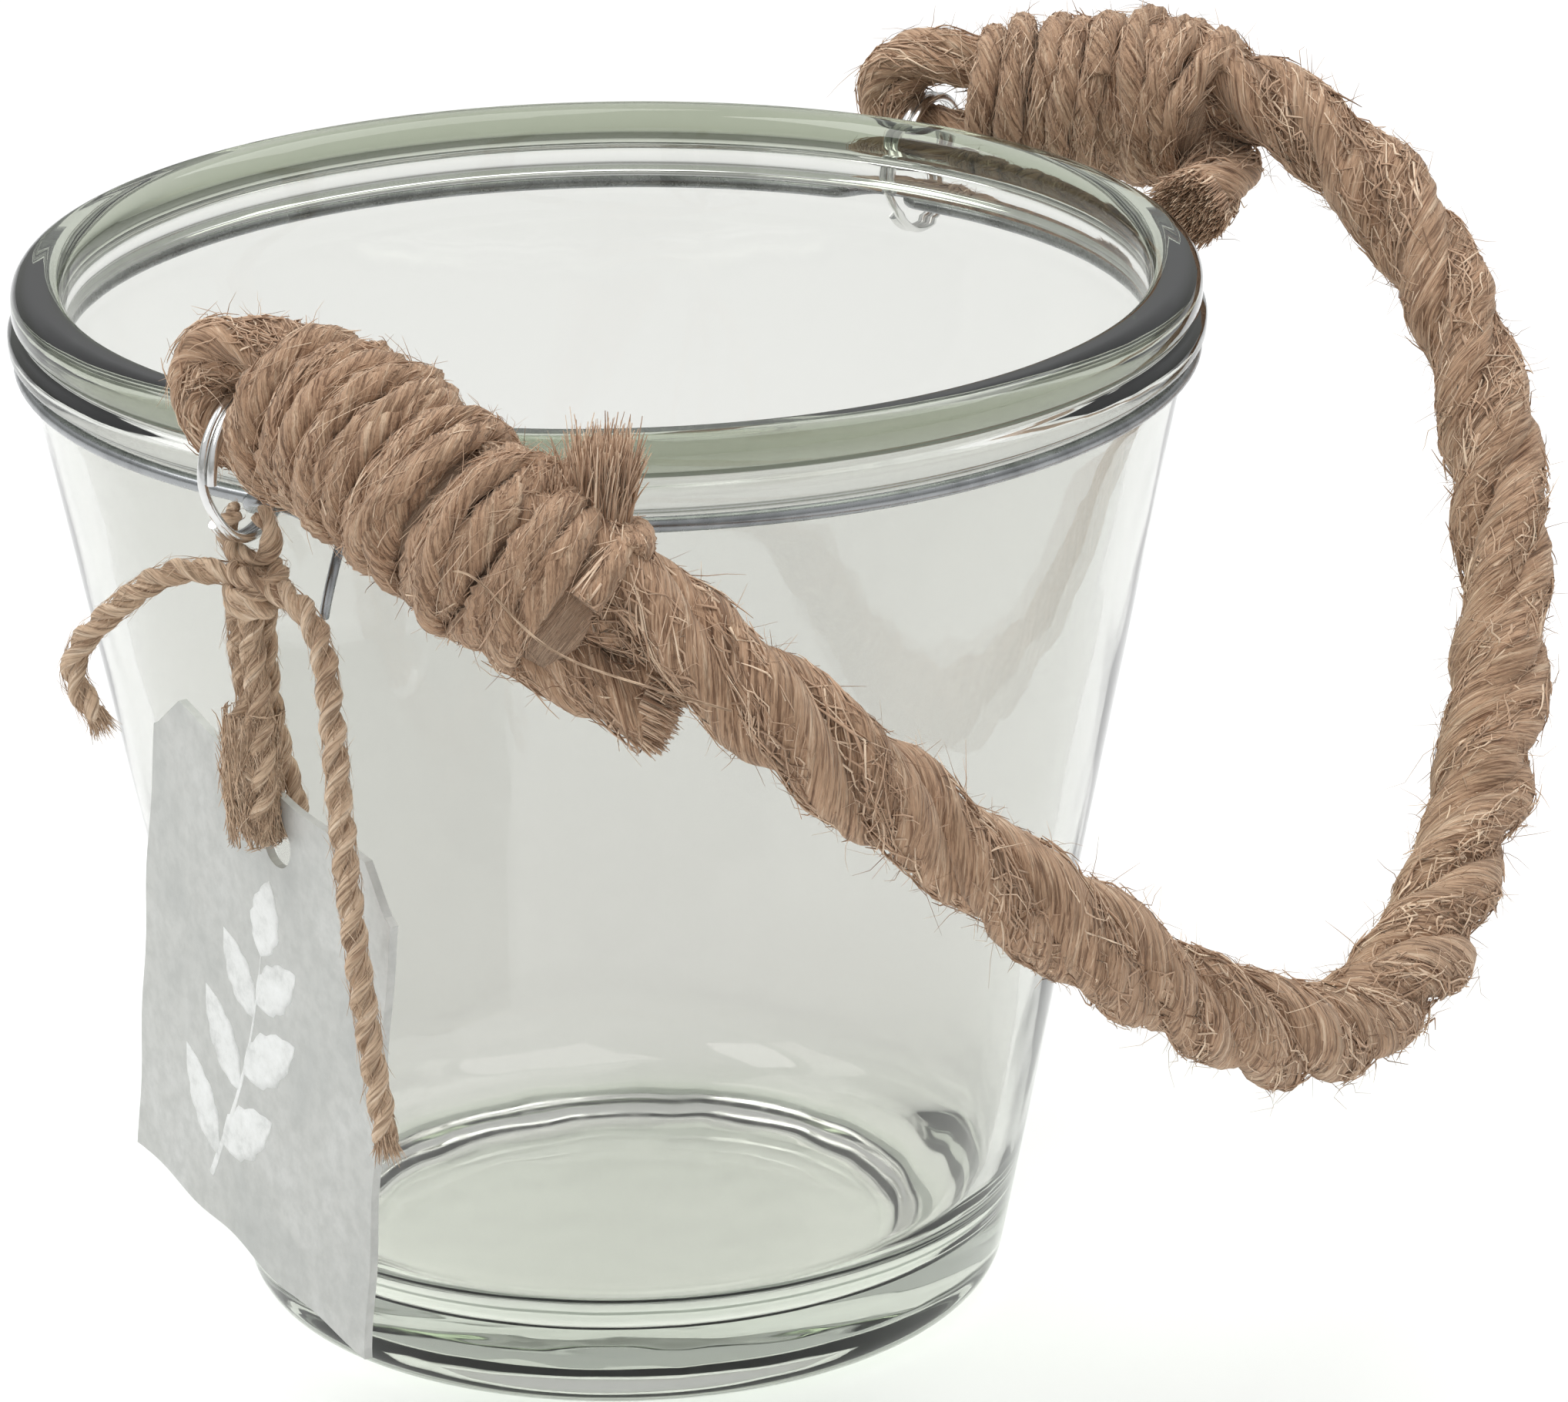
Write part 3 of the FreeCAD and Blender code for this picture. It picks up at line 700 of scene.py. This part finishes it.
def yarn_hairs(heap, path, radius, count, seed, lengths, stand, thickness):
    """Loose fibres of one yarn; stand is how far their ends leave it."""
    random = np.random.default_rng(seed)
    t = np.linspace(0.0, 1.0, 5)[None, :]
    s0 = random.uniform(0.5, path.length - 0.5, count)
    run = random.choice([-1.0, 1.0], (count, 1)) * random.uniform(*lengths, (count, 1)) * t
    angle = random.uniform(0.0, TURN, (count, 1))
    angle = angle + random.normal(0.0, 0.35, (count, 1)) * run / radius
    s = np.clip(s0[:, None] + run, 0.0, path.length)
    rise = np.abs(random.normal(0.0, 1.0, (count, 1))) * stand
    lift = radius - 0.08 + rise * t ** 1.5
    lines = path.at(s) + path.around(s, angle) * lift[..., None]
    lines = lines + random.normal(0.0, 1.0, (count, 1, 3)) * (t[..., None] ** 2) * 0.5 * stand
    heap.hairs(lines, random.uniform(0.6, 1.4, count) * thickness, seed + 90)


def brush(heap, base, direction, spread, length, radius, count, seed, thickness):
    """A tuft of cut fibres from a round patch."""
    random = np.random.default_rng(seed)
    direction = unit(np.asarray(direction, float))
    side = unit(np.cross(direction, (0.31, 0.52, 0.77)))
    other = np.cross(direction, side)
    angle = random.uniform(0.0, TURN, count)
    off = radius * np.sqrt(random.uniform(0.0, 1.0, count))
    out = np.cos(angle)[:, None] * side + np.sin(angle)[:, None] * other
    start = np.asarray(base, float) + out * off[:, None]
    t = np.linspace(0.0, 1.0, 7)[None, :, None]
    reach = (length * random.uniform(0.72, 1.08, count))[:, None, None]
    bend = random.normal(0.0, 1.0, (count, 1, 3)) * 0.10 * length
    lines = start[:, None, :] + direction * reach * t
    lines = lines + out[:, None, :] * (off[:, None, None] / radius) * spread * t ** 1.4
    lines = lines + bend * t ** 2
    heap.hairs(lines, random.uniform(0.6, 1.4, count) * thickness, seed + 7)


def sheath(name, core, radius, start, stop, seed, node_name):
    """The under-layer of yarn that fills the gaps between turns."""
    s = np.linspace(start, stop, int((stop - start) / 0.5))
    path = Path(core.at(s), up=(0.0, 0.0, 1.0))
    heap = Heap()

    def size(length):
        return radius * (0.62 + 0.38 * np.sqrt(from_ends(path, length, 2.2)))

    heap.tube(path, size, sides=40, twist=1.4, seed=seed, grain=0.05)
    add_yarn(heap, name, node_name=node_name)


def add_yarn(heap, name, material=YARN, node_name=None):
    assign(heap.build(name, material), "handle", node_name)


def lumpy(size, seed):
    """A yarn radius that swells and thins along its length."""
    phases = np.random.default_rng(seed).uniform(0.0, TURN, 4)

    def radius(s):
        swell = sum(np.sin(s * (0.23 + 0.31 * k) + phase) / (k + 2.0)
                    for k, phase in enumerate(phases))
        return size * (1.0 + 0.16 * swell)
    return radius


def wind(node_name, core, under, layers, fuzz):
    """One whipping: an under-layer, then yarns wound over it, then their loose fibres.

    Each layer is (piece, start, stop, pitch, reach, lean, yarn radius, squeeze, seed).
    """
    sheath(node_name + "_under", core, under, 0.5, core.length - 0.4, 3.0, node_name)
    hairs = Heap()
    for number, layer in enumerate(layers):
        piece, start, stop, pitch, reach, lean, yarn, squeeze, seed = layer
        path = winding(core, start, stop, pitch, reach, lean, seed)
        turns = Heap()
        turns.tube(path, lumpy(yarn, seed), sides=16, twist=0.5, seed=float(seed),
                   grain=0.30, squeeze=squeeze)
        add_yarn(turns, node_name + piece)
        share = fuzz if number == 0 else fuzz // 3
        yarn_hairs(hairs, path, yarn * squeeze, share, seed + 30, (1.5, 4.5), 0.30, 0.105)
        yarn_hairs(hairs, path, yarn, share // 3, seed + 60, (1.5, 5.0), 0.9, 0.045)
    add_yarn(hairs, node_name + "_fibres", FUZZ)


CUT_FIBRE = 0.14


def make_whippings():
    front = Path(in_part_frame(spline(FRONT_WHIPPING, 0.4)))
    rear = Path(in_part_frame(spline(REAR_WHIPPING, 0.4)))
    far, end = front.length, rear.length
    wind("front_whipping", front, 6.2, [
        ("_turns", 1.2, far - 2.2, 3.0, 6.5, 0.9, 1.65, 0.86, 31),
        ("_cross_turns_1", far * 0.28, far - 3.5, 5.4, 7.2, 3.2, 1.30, 0.80, 37),
        ("_cross_turns_2", far - 4.0, far * 0.40, 6.6, 7.4, -2.4, 1.30, 0.80, 41),
    ], 4200)
    wind("rear_whipping", rear, 6.1, [
        ("_turns", 0.8, end - 6.5, 2.6, 6.6, 1.9, 1.40, 0.92, 47),
        ("_cross_turns_1", end - 9.0, end - 1.0, 2.6, 6.9, 2.3, 1.40, 0.85, 53),
        ("_cross_turns_2", end - 1.5, end - 9.5, 3.1, 7.2, -2.6, 1.40, 0.85, 59),
    ], 3600)

    tuft = Heap()
    brush(tuft, (37.4, -66.9, 98.4), (0.02, 0.14, 1.0), spread=0.3, length=8.4, radius=2.4,
          count=900, seed=71, thickness=CUT_FIBRE)
    brush(tuft, (33.4, -67.8, 99.2), (-0.04, 0.08, 1.0), spread=0.3, length=5.2, radius=3.0,
          count=900, seed=72, thickness=CUT_FIBRE)
    add_yarn(tuft, "front_whipping_tuft", FUZZ)

    stray = Heap()
    places = [(27, -78.2, -8.5), (31, -79.1, -7.0), (37, -78.4, -11.5), (44, -75.6, -15),
              (52, -71.6, -17.6)]
    stray.tube(Path(in_part_frame(spline(places, 0.5))), 0.12, sides=6, seed=3.0)
    add_yarn(stray, "front_whipping_stray_strand", TWINE)

    ends = Heap()
    for s, heading, seed in ((0.0, -1.0, 73), (ROPE_PATH.length, 1.0, 74)):
        tip = ROPE_PATH.at(np.array([s]))[0]
        along = ROPE_PATH.along(np.array([s]))[0] * heading
        brush(ends, tip - along * 1.6, along, spread=0.3, length=3.0, radius=3.6, count=1300,
              seed=seed, thickness=CUT_FIBRE)
    add_yarn(ends, "rope_cut_ends", FUZZ)


# ---------------------------------------------------------------- tag
TAG_HOLE = np.array([2.4, -62.6, 64.4])
TAG_TURN = math.radians(-28.0)
TAG_ROLL = math.radians(9.0)
TAG_WIDTH = 41.0
TAG_HEIGHT = 47.5
TAG_ASIDE = 2.2
TAG_DROP = 5.0
TAG_CLIP = 4.3
TAG_THICKNESS = 0.8
TAG_HOLE_RADIUS = 2.3
HOLE_SIDES = 40
GRID = 1.1
PAINT_FILM = 0.045


def tag_frame():
    """The plate's across, facing and up directions."""
    turn = Matrix.Rotation(TAG_TURN, 3, "Z") @ Matrix.Rotation(TAG_ROLL, 3, "Y")
    return [np.array(turn @ Vector(v)) for v in ((1, 0, 0), (0, -1, 0), (0, 0, 1))]


TAG_ACROSS, TAG_FACING, TAG_UP = tag_frame()


def tag_bend(x, z):
    """How far the sheet bows out of its plane."""
    return 0.22 * math.sin(x * 0.13 + 0.6) * math.sin(z * 0.11) - 0.0012 * (x + TAG_ASIDE) ** 2


def tag_place(x, z, out):
    return TAG_HOLE + TAG_ACROSS * x + TAG_UP * z + TAG_FACING * (tag_bend(x, z) + out)


def tag_outline():
    """The plate's edge, cut by hand with snips, drawn round the hole's middle."""
    left, right = -TAG_WIDTH / 2.0 - TAG_ASIDE, TAG_WIDTH / 2.0 - TAG_ASIDE
    top, low = TAG_DROP, TAG_DROP - TAG_HEIGHT
    corners = [(left, low), (right, low), (right, top - TAG_CLIP), (right - TAG_CLIP, top),
               (left + TAG_CLIP, top), (left, top - TAG_CLIP)]
    points = []
    for index, first in enumerate(corners):
        second = corners[(index + 1) % len(corners)]
        length = math.dist(first, second)
        count = max(3, int(length / 0.9))
        for k in range(count):
            t = k / count
            x = first[0] + (second[0] - first[0]) * t
            z = first[1] + (second[1] - first[1]) * t
            uneven = 0.55 + 0.45 * math.sin(length * t * 0.42 + index)
            inward = 0.5 * math.sin(math.pi * t) ** 0.5 * uneven
            if index == 0:
                inward *= 1.5
            nx, nz = -(second[1] - first[1]) / length, (second[0] - first[0]) / length
            points.append((x + nx * inward, z + nz * inward))
    return points


def make_tag():
    outline = tag_outline()
    hole = [(TAG_HOLE_RADIUS * math.cos(TURN * k / HOLE_SIDES),
             TAG_HOLE_RADIUS * math.sin(TURN * k / HOLE_SIDES)) for k in range(HOLE_SIDES)]
    random = np.random.default_rng(81)
    grid = []
    clip_line = TAG_WIDTH / 2.0 + TAG_DROP - TAG_CLIP
    for x in np.arange(-TAG_WIDTH / 2 + 1.1, TAG_WIDTH / 2 - 0.5, GRID) - TAG_ASIDE:
        for z in np.arange(TAG_DROP - TAG_HEIGHT + 1.3, TAG_DROP - 0.6, GRID):
            off_corner = abs(x + TAG_ASIDE) + max(z, TAG_DROP - 12.0) - clip_line
            if math.hypot(x, z) > TAG_HOLE_RADIUS + 0.7 and off_corner < -1.0:
                grid.append((x + random.uniform(-0.1, 0.1), z + random.uniform(-0.1, 0.1)))
    flat = [Vector(p) for p in outline + hole + grid]
    edges = [(k, (k + 1) % len(outline)) for k in range(len(outline))]
    first = len(outline)
    edges += [(first + k, first + (k + 1) % HOLE_SIDES) for k in range(HOLE_SIDES)]
    points, _, triangles, _, _, _ = delaunay_2d_cdt(flat, edges, [], 1, 1e-5)
    keep = []
    for corner in triangles:
        cx = sum(points[i][0] for i in corner) / 3.0
        cz = sum(points[i][1] for i in corner) / 3.0
        if math.hypot(cx, cz) > TAG_HOLE_RADIUS * 0.985:
            keep.append(tuple(corner))
    half = TAG_THICKNESS / 2.0
    count = len(points)
    vertices = [tag_place(p[0], p[1], half) for p in points]
    vertices += [tag_place(p[0], p[1], -half) for p in points]
    faces = list(keep) + [tuple(count + i for i in reversed(corner)) for corner in keep]
    used = {}
    for corner in keep:
        for k in range(3):
            used[(corner[k], corner[(k + 1) % 3])] = True
    for a, b in used:
        if (b, a) not in used:
            faces.append((b, a, count + a, count + b))
    plate = add_mesh("tag_sheet", np.array(vertices), faces, ZINC, smooth=False)
    soft = plate.modifiers.new("soft_edges", "BEVEL")
    soft.width = 0.00012
    soft.segments = 2
    soft.limit_method = "ANGLE"
    soft.angle_limit = math.radians(40)
    assign(plate, "tag", "tag_plate")
    make_sprig()


def leaf(base, heading, length, width):
    """One painted leaf on the plate: points along its middle, each with its half width."""
    rows = []
    for k in range(13):
        t = k / 12.0
        wide = 0.5 * width * math.sin(math.pi * t ** 0.85) ** 0.8
        x = base[0] + math.cos(heading) * length * t
        z = base[1] + math.sin(heading) * length * t
        rows.append(((x, z), wide))
    return rows


def painted_patch(name, rows, heading):
    """A thin raised patch of paint from a row of middles and half widths."""
    side = (-math.sin(heading), math.cos(heading))
    across = 7
    top, low = [], []
    for number, ((x, z), wide) in enumerate(rows):
        ragged = 1.0 + 0.10 * math.sin(number * 2.1 + heading * 3.0)
        for k in range(across):
            share = 2.0 * k / (across - 1) - 1.0
            u = share * max(wide, 0.03) * ragged
            px, pz = x + side[0] * u, z + side[1] * u
            crown = PAINT_FILM * (0.35 + 0.65 * (1.0 - share ** 2))
            top.append(tag_place(px, pz, TAG_THICKNESS / 2.0 + crown))
            low.append(tag_place(px, pz, TAG_THICKNESS / 2.0 - 0.12))
    count = len(top)
    rings = len(rows)
    faces = []
    for ring in range(rings - 1):
        for k in range(across - 1):
            a = ring * across + k
            faces.append((a, a + 1, a + across + 1, a + across))
            faces.append((count + a, count + a + across, count + a + across + 1, count + a + 1))
    border = [(k, k + 1) for k in range(across - 1)]
    border += [(r * across + across - 1, (r + 1) * across + across - 1) for r in range(rings - 1)]
    border += [((rings - 1) * across + k + 1, (rings - 1) * across + k) for k in range(across - 1)]
    border += [((r + 1) * across, r * across) for r in range(rings - 1)]
    faces += [(b, a, count + a, count + b) for a, b in border]
    assign(add_mesh(name, np.array(top + low), faces, PAINT), "tag")


def make_sprig():
    """A plain leafy sprig with broad leaves, painted by hand."""
    def stem_at(t):
        return -8.5 + 6.5 * t + 1.6 * math.sin(3.0 * t), -38.0 + 26.0 * t

    stem = [(stem_at(k / 24.0), 0.34 * (1.15 - k / 24.0)) for k in range(25)]
    painted_patch("tag_sprig_stem", stem, math.radians(76.0))
    leaves = [
        (0.10, 128.0, 10.5, 4.6), (0.16, 38.0, 10.5, 4.8), (0.42, 130.0, 10.0, 4.6),
        (0.50, 40.0, 10.5, 4.8), (0.74, 132.0, 8.5, 4.2), (0.80, 44.0, 8.5, 4.4),
        (0.99, 84.0, 8.0, 4.6),
    ]
    for number, (t, degrees, length, width) in enumerate(leaves, start=1):
        heading = math.radians(degrees)
        rows = leaf(stem_at(t), heading, length, width)
        painted_patch("tag_sprig_leaf_%d" % number, rows, heading)


# ---------------------------------------------------------------- twine
KNOT = np.array([0.8, -62.0, 87.3])
RING_FOOT = np.array([0.0, -62.0, 91.9])
TWINE_TURNS_PER_MM = 0.17
FREE_END = 1.15
RING_TURN = 2.24


def twine(heap, points, radius, seed, hairs, step=0.3):
    """Two plies twisted together along a line."""
    line = Path(spline(points, step))
    for ply in range(2):
        angle = TURN * (ply / 2.0 + line.s * TWINE_TURNS_PER_MM)
        path = Path(line.at(line.s) + line.around(line.s, angle) * (radius * 0.44))

        def size(s, path=path):
            return radius * 0.60 * np.sqrt(0.3 + 0.7 * from_ends(path, s, 0.8))

        heap.tube(path, size, sides=14, twist=-1.0, seed=seed + ply, grain=0.17)
    yarn_hairs(heap, line, radius * 0.95, hairs, int(seed * 10) + 300, (1.2, 3.6), 0.28, 0.035)


def spindle(path, radius, first, last, power):
    """A radius that is widest half way along the path."""
    return lambda s: radius * np.sin(math.pi * np.clip(s / path.length, first, last)) ** power


def make_twine():
    ends = Heap()
    left = [KNOT + (-1.0, -0.9, 1.0), (-5.4, -64.0, 88.4), (-12.0, -65.0, 84.2),
            (-16.0, -66.0, 78.3), (-13.5, -66.0, 74.1)]
    right = [KNOT + (1.0, -0.9, 0.6), (7.3, -64.8, 86.6), (11.4, -68.2, 80.8), (15.1, -72.6, 69.6),
             (17.8, -74.6, 56.7), (20.3, -75.6, 44.4)]
    twine(ends, left, FREE_END, 20.0, 320)
    twine(ends, right, FREE_END, 24.0, 520)
    for tip, before in ((left[-1], left[-2]), (right[-1], right[-2])):
        along = unit(np.asarray(tip) - np.asarray(before))
        brush(ends, np.asarray(tip) - along, along, spread=0.5, length=2.4, radius=0.9, count=120,
              seed=97, thickness=0.06)
    finish_twine(ends, "twine_free_ends", "tag_twine")

    turn = Heap()
    circle = []
    for degrees in range(-250, 71, 20):
        a = math.radians(degrees)
        circle.append(RING_FOOT + (RING_TURN * math.cos(a), 0.12 * degrees / 100.0,
                                   RING_TURN * math.sin(a)))
    twine(turn, circle, 0.98, 28.0, 60, step=0.2)
    finish_twine(turn, "twine_ring_turn")

    knot = Heap()
    loops = [
        [(-2.0, -0.6, 1.7), (-0.2, -2.1, 1.3), (1.9, -1.2, 0.6), (2.1, 0.9, -0.2), (0.2, 2.0, -0.6),
         (-1.8, 1.0, -0.9), (-2.0, -1.0, -1.2), (0.0, -2.1, -1.5), (1.7, -1.0, -1.7)],
        [(1.6, 1.0, 2.0), (2.0, -0.9, 1.0), (0.6, -2.2, 0.0), (-1.6, -1.6, -0.8),
         (-1.7, 0.6, -1.6)],
        [(-1.6, 1.2, 1.6), (-2.1, -0.5, 0.4), (-0.9, -2.2, -0.4), (1.2, -2.0, -0.9),
         (1.9, -0.2, -1.5)],
    ]
    for number, loop in enumerate(loops):
        twine(knot, [KNOT + p for p in loop], 0.95, 31.0 + 2 * number, 60, step=0.2)
    filler = Path(spline([KNOT + (0, 0, 2.3), KNOT, KNOT - (0, 0, 2.3)], 0.2))
    knot.tube(filler, spindle(filler, 1.9, 0.06, 0.94, 0.5), sides=16, twist=0.8, seed=2.0,
              grain=0.1)
    finish_twine(knot, "twine_knot")

    make_tag_loop()


def make_tag_loop():
    """The doubled loop from the knot: its swollen fold before the plate and the pass behind."""
    facing = unit(np.array([math.sin(TAG_TURN), -math.cos(TAG_TURN), 0.0]))
    up = np.array([0.0, 0.0, 1.0])
    across = np.cross(facing, up) * -1.0
    radius = 1.0
    bearing = TAG_HOLE_RADIUS - radius - 0.15
    stand_off = TAG_THICKNESS / 2.0 + radius + 0.6

    def by_hole(rise, out, aside):
        return TAG_HOLE + up * rise + facing * out + across * aside

    start = KNOT - up * 1.2
    middle = start + (TAG_HOLE + up * 9.0 - start) * 0.5
    apart = 1.15
    loop = Heap()
    back = [start - facing * apart - across * 0.8, middle - facing * apart - across * 2.2,
            by_hole(9.0, -1.35, -2.2), by_hole(4.5, -stand_off, -1.2),
            by_hole(bearing + 0.7, -0.75 * stand_off, 0.0), by_hole(bearing, 0.0, 0.0)]
    twine(loop, back, 1.0, 41.0, 120)
    for side, seed in ((-1.0, 43.0), (1.0, 46.0)):
        front = [start + facing * apart + across * (0.9 * side - 0.6),
                 middle + facing * apart + across * (1.05 * side - 1.3),
                 by_hole(13.0, 1.3, side - 1.4), by_hole(9.0, 1.9, 2.0 * side - 1.3),
                 by_hole(4.8, 2.1, 2.1 * side - 1.2), by_hole(1.2, 1.6, 1.1 * side - 1.0),
                 by_hole(bearing - 0.4, 0.0, 0.2 * side - 0.3)]
        twine(loop, front, 1.15, seed, 420)
    swell = Path(spline([by_hole(12.0, 1.5, -1.4), by_hole(7.0, 1.9, -1.25),
                         by_hole(0.4, 1.5, -0.9)], 0.25))
    loop.tube(swell, spindle(swell, 2.6, 0.04, 0.97, 0.7), sides=18, twist=0.5, seed=9.0,
              grain=0.16, squeeze=0.9)
    yarn_hairs(loop, swell, 2.5, 900, 97, (1.5, 4.5), 0.3, 0.07)
    finish_twine(loop, "twine_tag_loop")


def finish_twine(heap, name, node_name=None):
    assign(heap.build(name, TWINE), "tag_twine", node_name)


# ---------------------------------------------------------------- build
make_jar()
make_rope()
make_whippings()
make_tag()
make_twine()
for name, steel in (("neck_wire", NECK_STEEL), ("front_ring", RING_STEEL),
                    ("rear_ring", RING_STEEL)):
    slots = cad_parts[name].data.materials
    slots.clear()
    slots.append(steel)


# ---------------------------------------------------------------- floor, light, camera
FLOOR_REACH = 15.0
CAMERA_PLACE = (0.34069, -0.59009, 0.30322)
CAMERA_BACK = (0.45120, -0.82484, 0.34067)
CAMERA_ROLL = math.radians(-0.74)
CAMERA_LENS = 177.8


def make_floor():
    mesh = bpy.data.meshes.new("floor")
    signs = ((-1, -1), (1, -1), (1, 1), (-1, 1))
    mesh.from_pydata([(x * FLOOR_REACH, y * FLOOR_REACH, 0) for x, y in signs], [], [(0, 1, 2, 3)])
    material, tree, shader = new_material("floor_white")
    shader.inputs["Base Color"].default_value = (0.90, 0.90, 0.895, 1.0)
    shader.inputs["Roughness"].default_value = 0.9
    mesh.materials.append(material)
    floor = bpy.data.objects.new("floor", mesh)
    bpy.context.scene.collection.objects.link(floor)


def area_light(name, place, size, power):
    """A square lamp aimed at the middle of the jar."""
    data = bpy.data.lights.new(name, "AREA")
    data.shape = "RECTANGLE"
    data.size, data.size_y, data.energy = size, size, power
    lamp = bpy.data.objects.new(name, data)
    lamp.location = place
    aim = Vector((0, 0, 0.05)) - Vector(place)
    lamp.rotation_euler = aim.to_track_quat("-Z", "Y").to_euler()
    bpy.context.scene.collection.objects.link(lamp)


def make_light():
    world = bpy.data.worlds.new("studio")
    bpy.context.scene.world = world
    world.use_nodes = True
    tree = world.node_tree
    background = next(n for n in tree.nodes if n.type == "BACKGROUND")
    split = node(tree, "ShaderNodeSeparateXYZ")
    tree.links.new(node(tree, "ShaderNodeTexCoord").outputs["Generated"], split.inputs[0])
    sky = ramp(tree, split.outputs["Z"], [(0.02, (0.42, 0.43, 0.41)), (0.16, (0.52, 0.53, 0.51)),
                                          (0.34, (0.80, 0.81, 0.82)), (0.8, (0.98, 0.99, 1.0))])
    tree.links.new(sky, background.inputs["Color"])
    background.inputs["Strength"].default_value = 0.78
    area_light("key", (-0.55, -0.35, 0.95), 0.7, 5.2)
    area_light("top", (0.25, 0.35, 1.1), 0.9, 5.6)


def make_camera():
    data = bpy.data.cameras.new("view")
    data.lens = CAMERA_LENS
    data.sensor_width = 36.0
    data.sensor_fit = "HORIZONTAL"
    data.clip_start = 0.05
    camera = bpy.data.objects.new("view", data)
    back = Vector(CAMERA_BACK).normalized()
    level = Vector((0, 0, 1)).cross(back).normalized()
    turn = Matrix((level, back.cross(level), back)).transposed()
    turn = turn @ Matrix.Rotation(CAMERA_ROLL, 3, "Z")
    camera.matrix_world = Matrix.Translation(CAMERA_PLACE) @ turn.to_4x4()
    bpy.context.scene.collection.objects.link(camera)
    bpy.context.scene.camera = camera


make_floor()
make_light()
make_camera()
bpy.context.scene.view_settings.view_transform = "Standard"
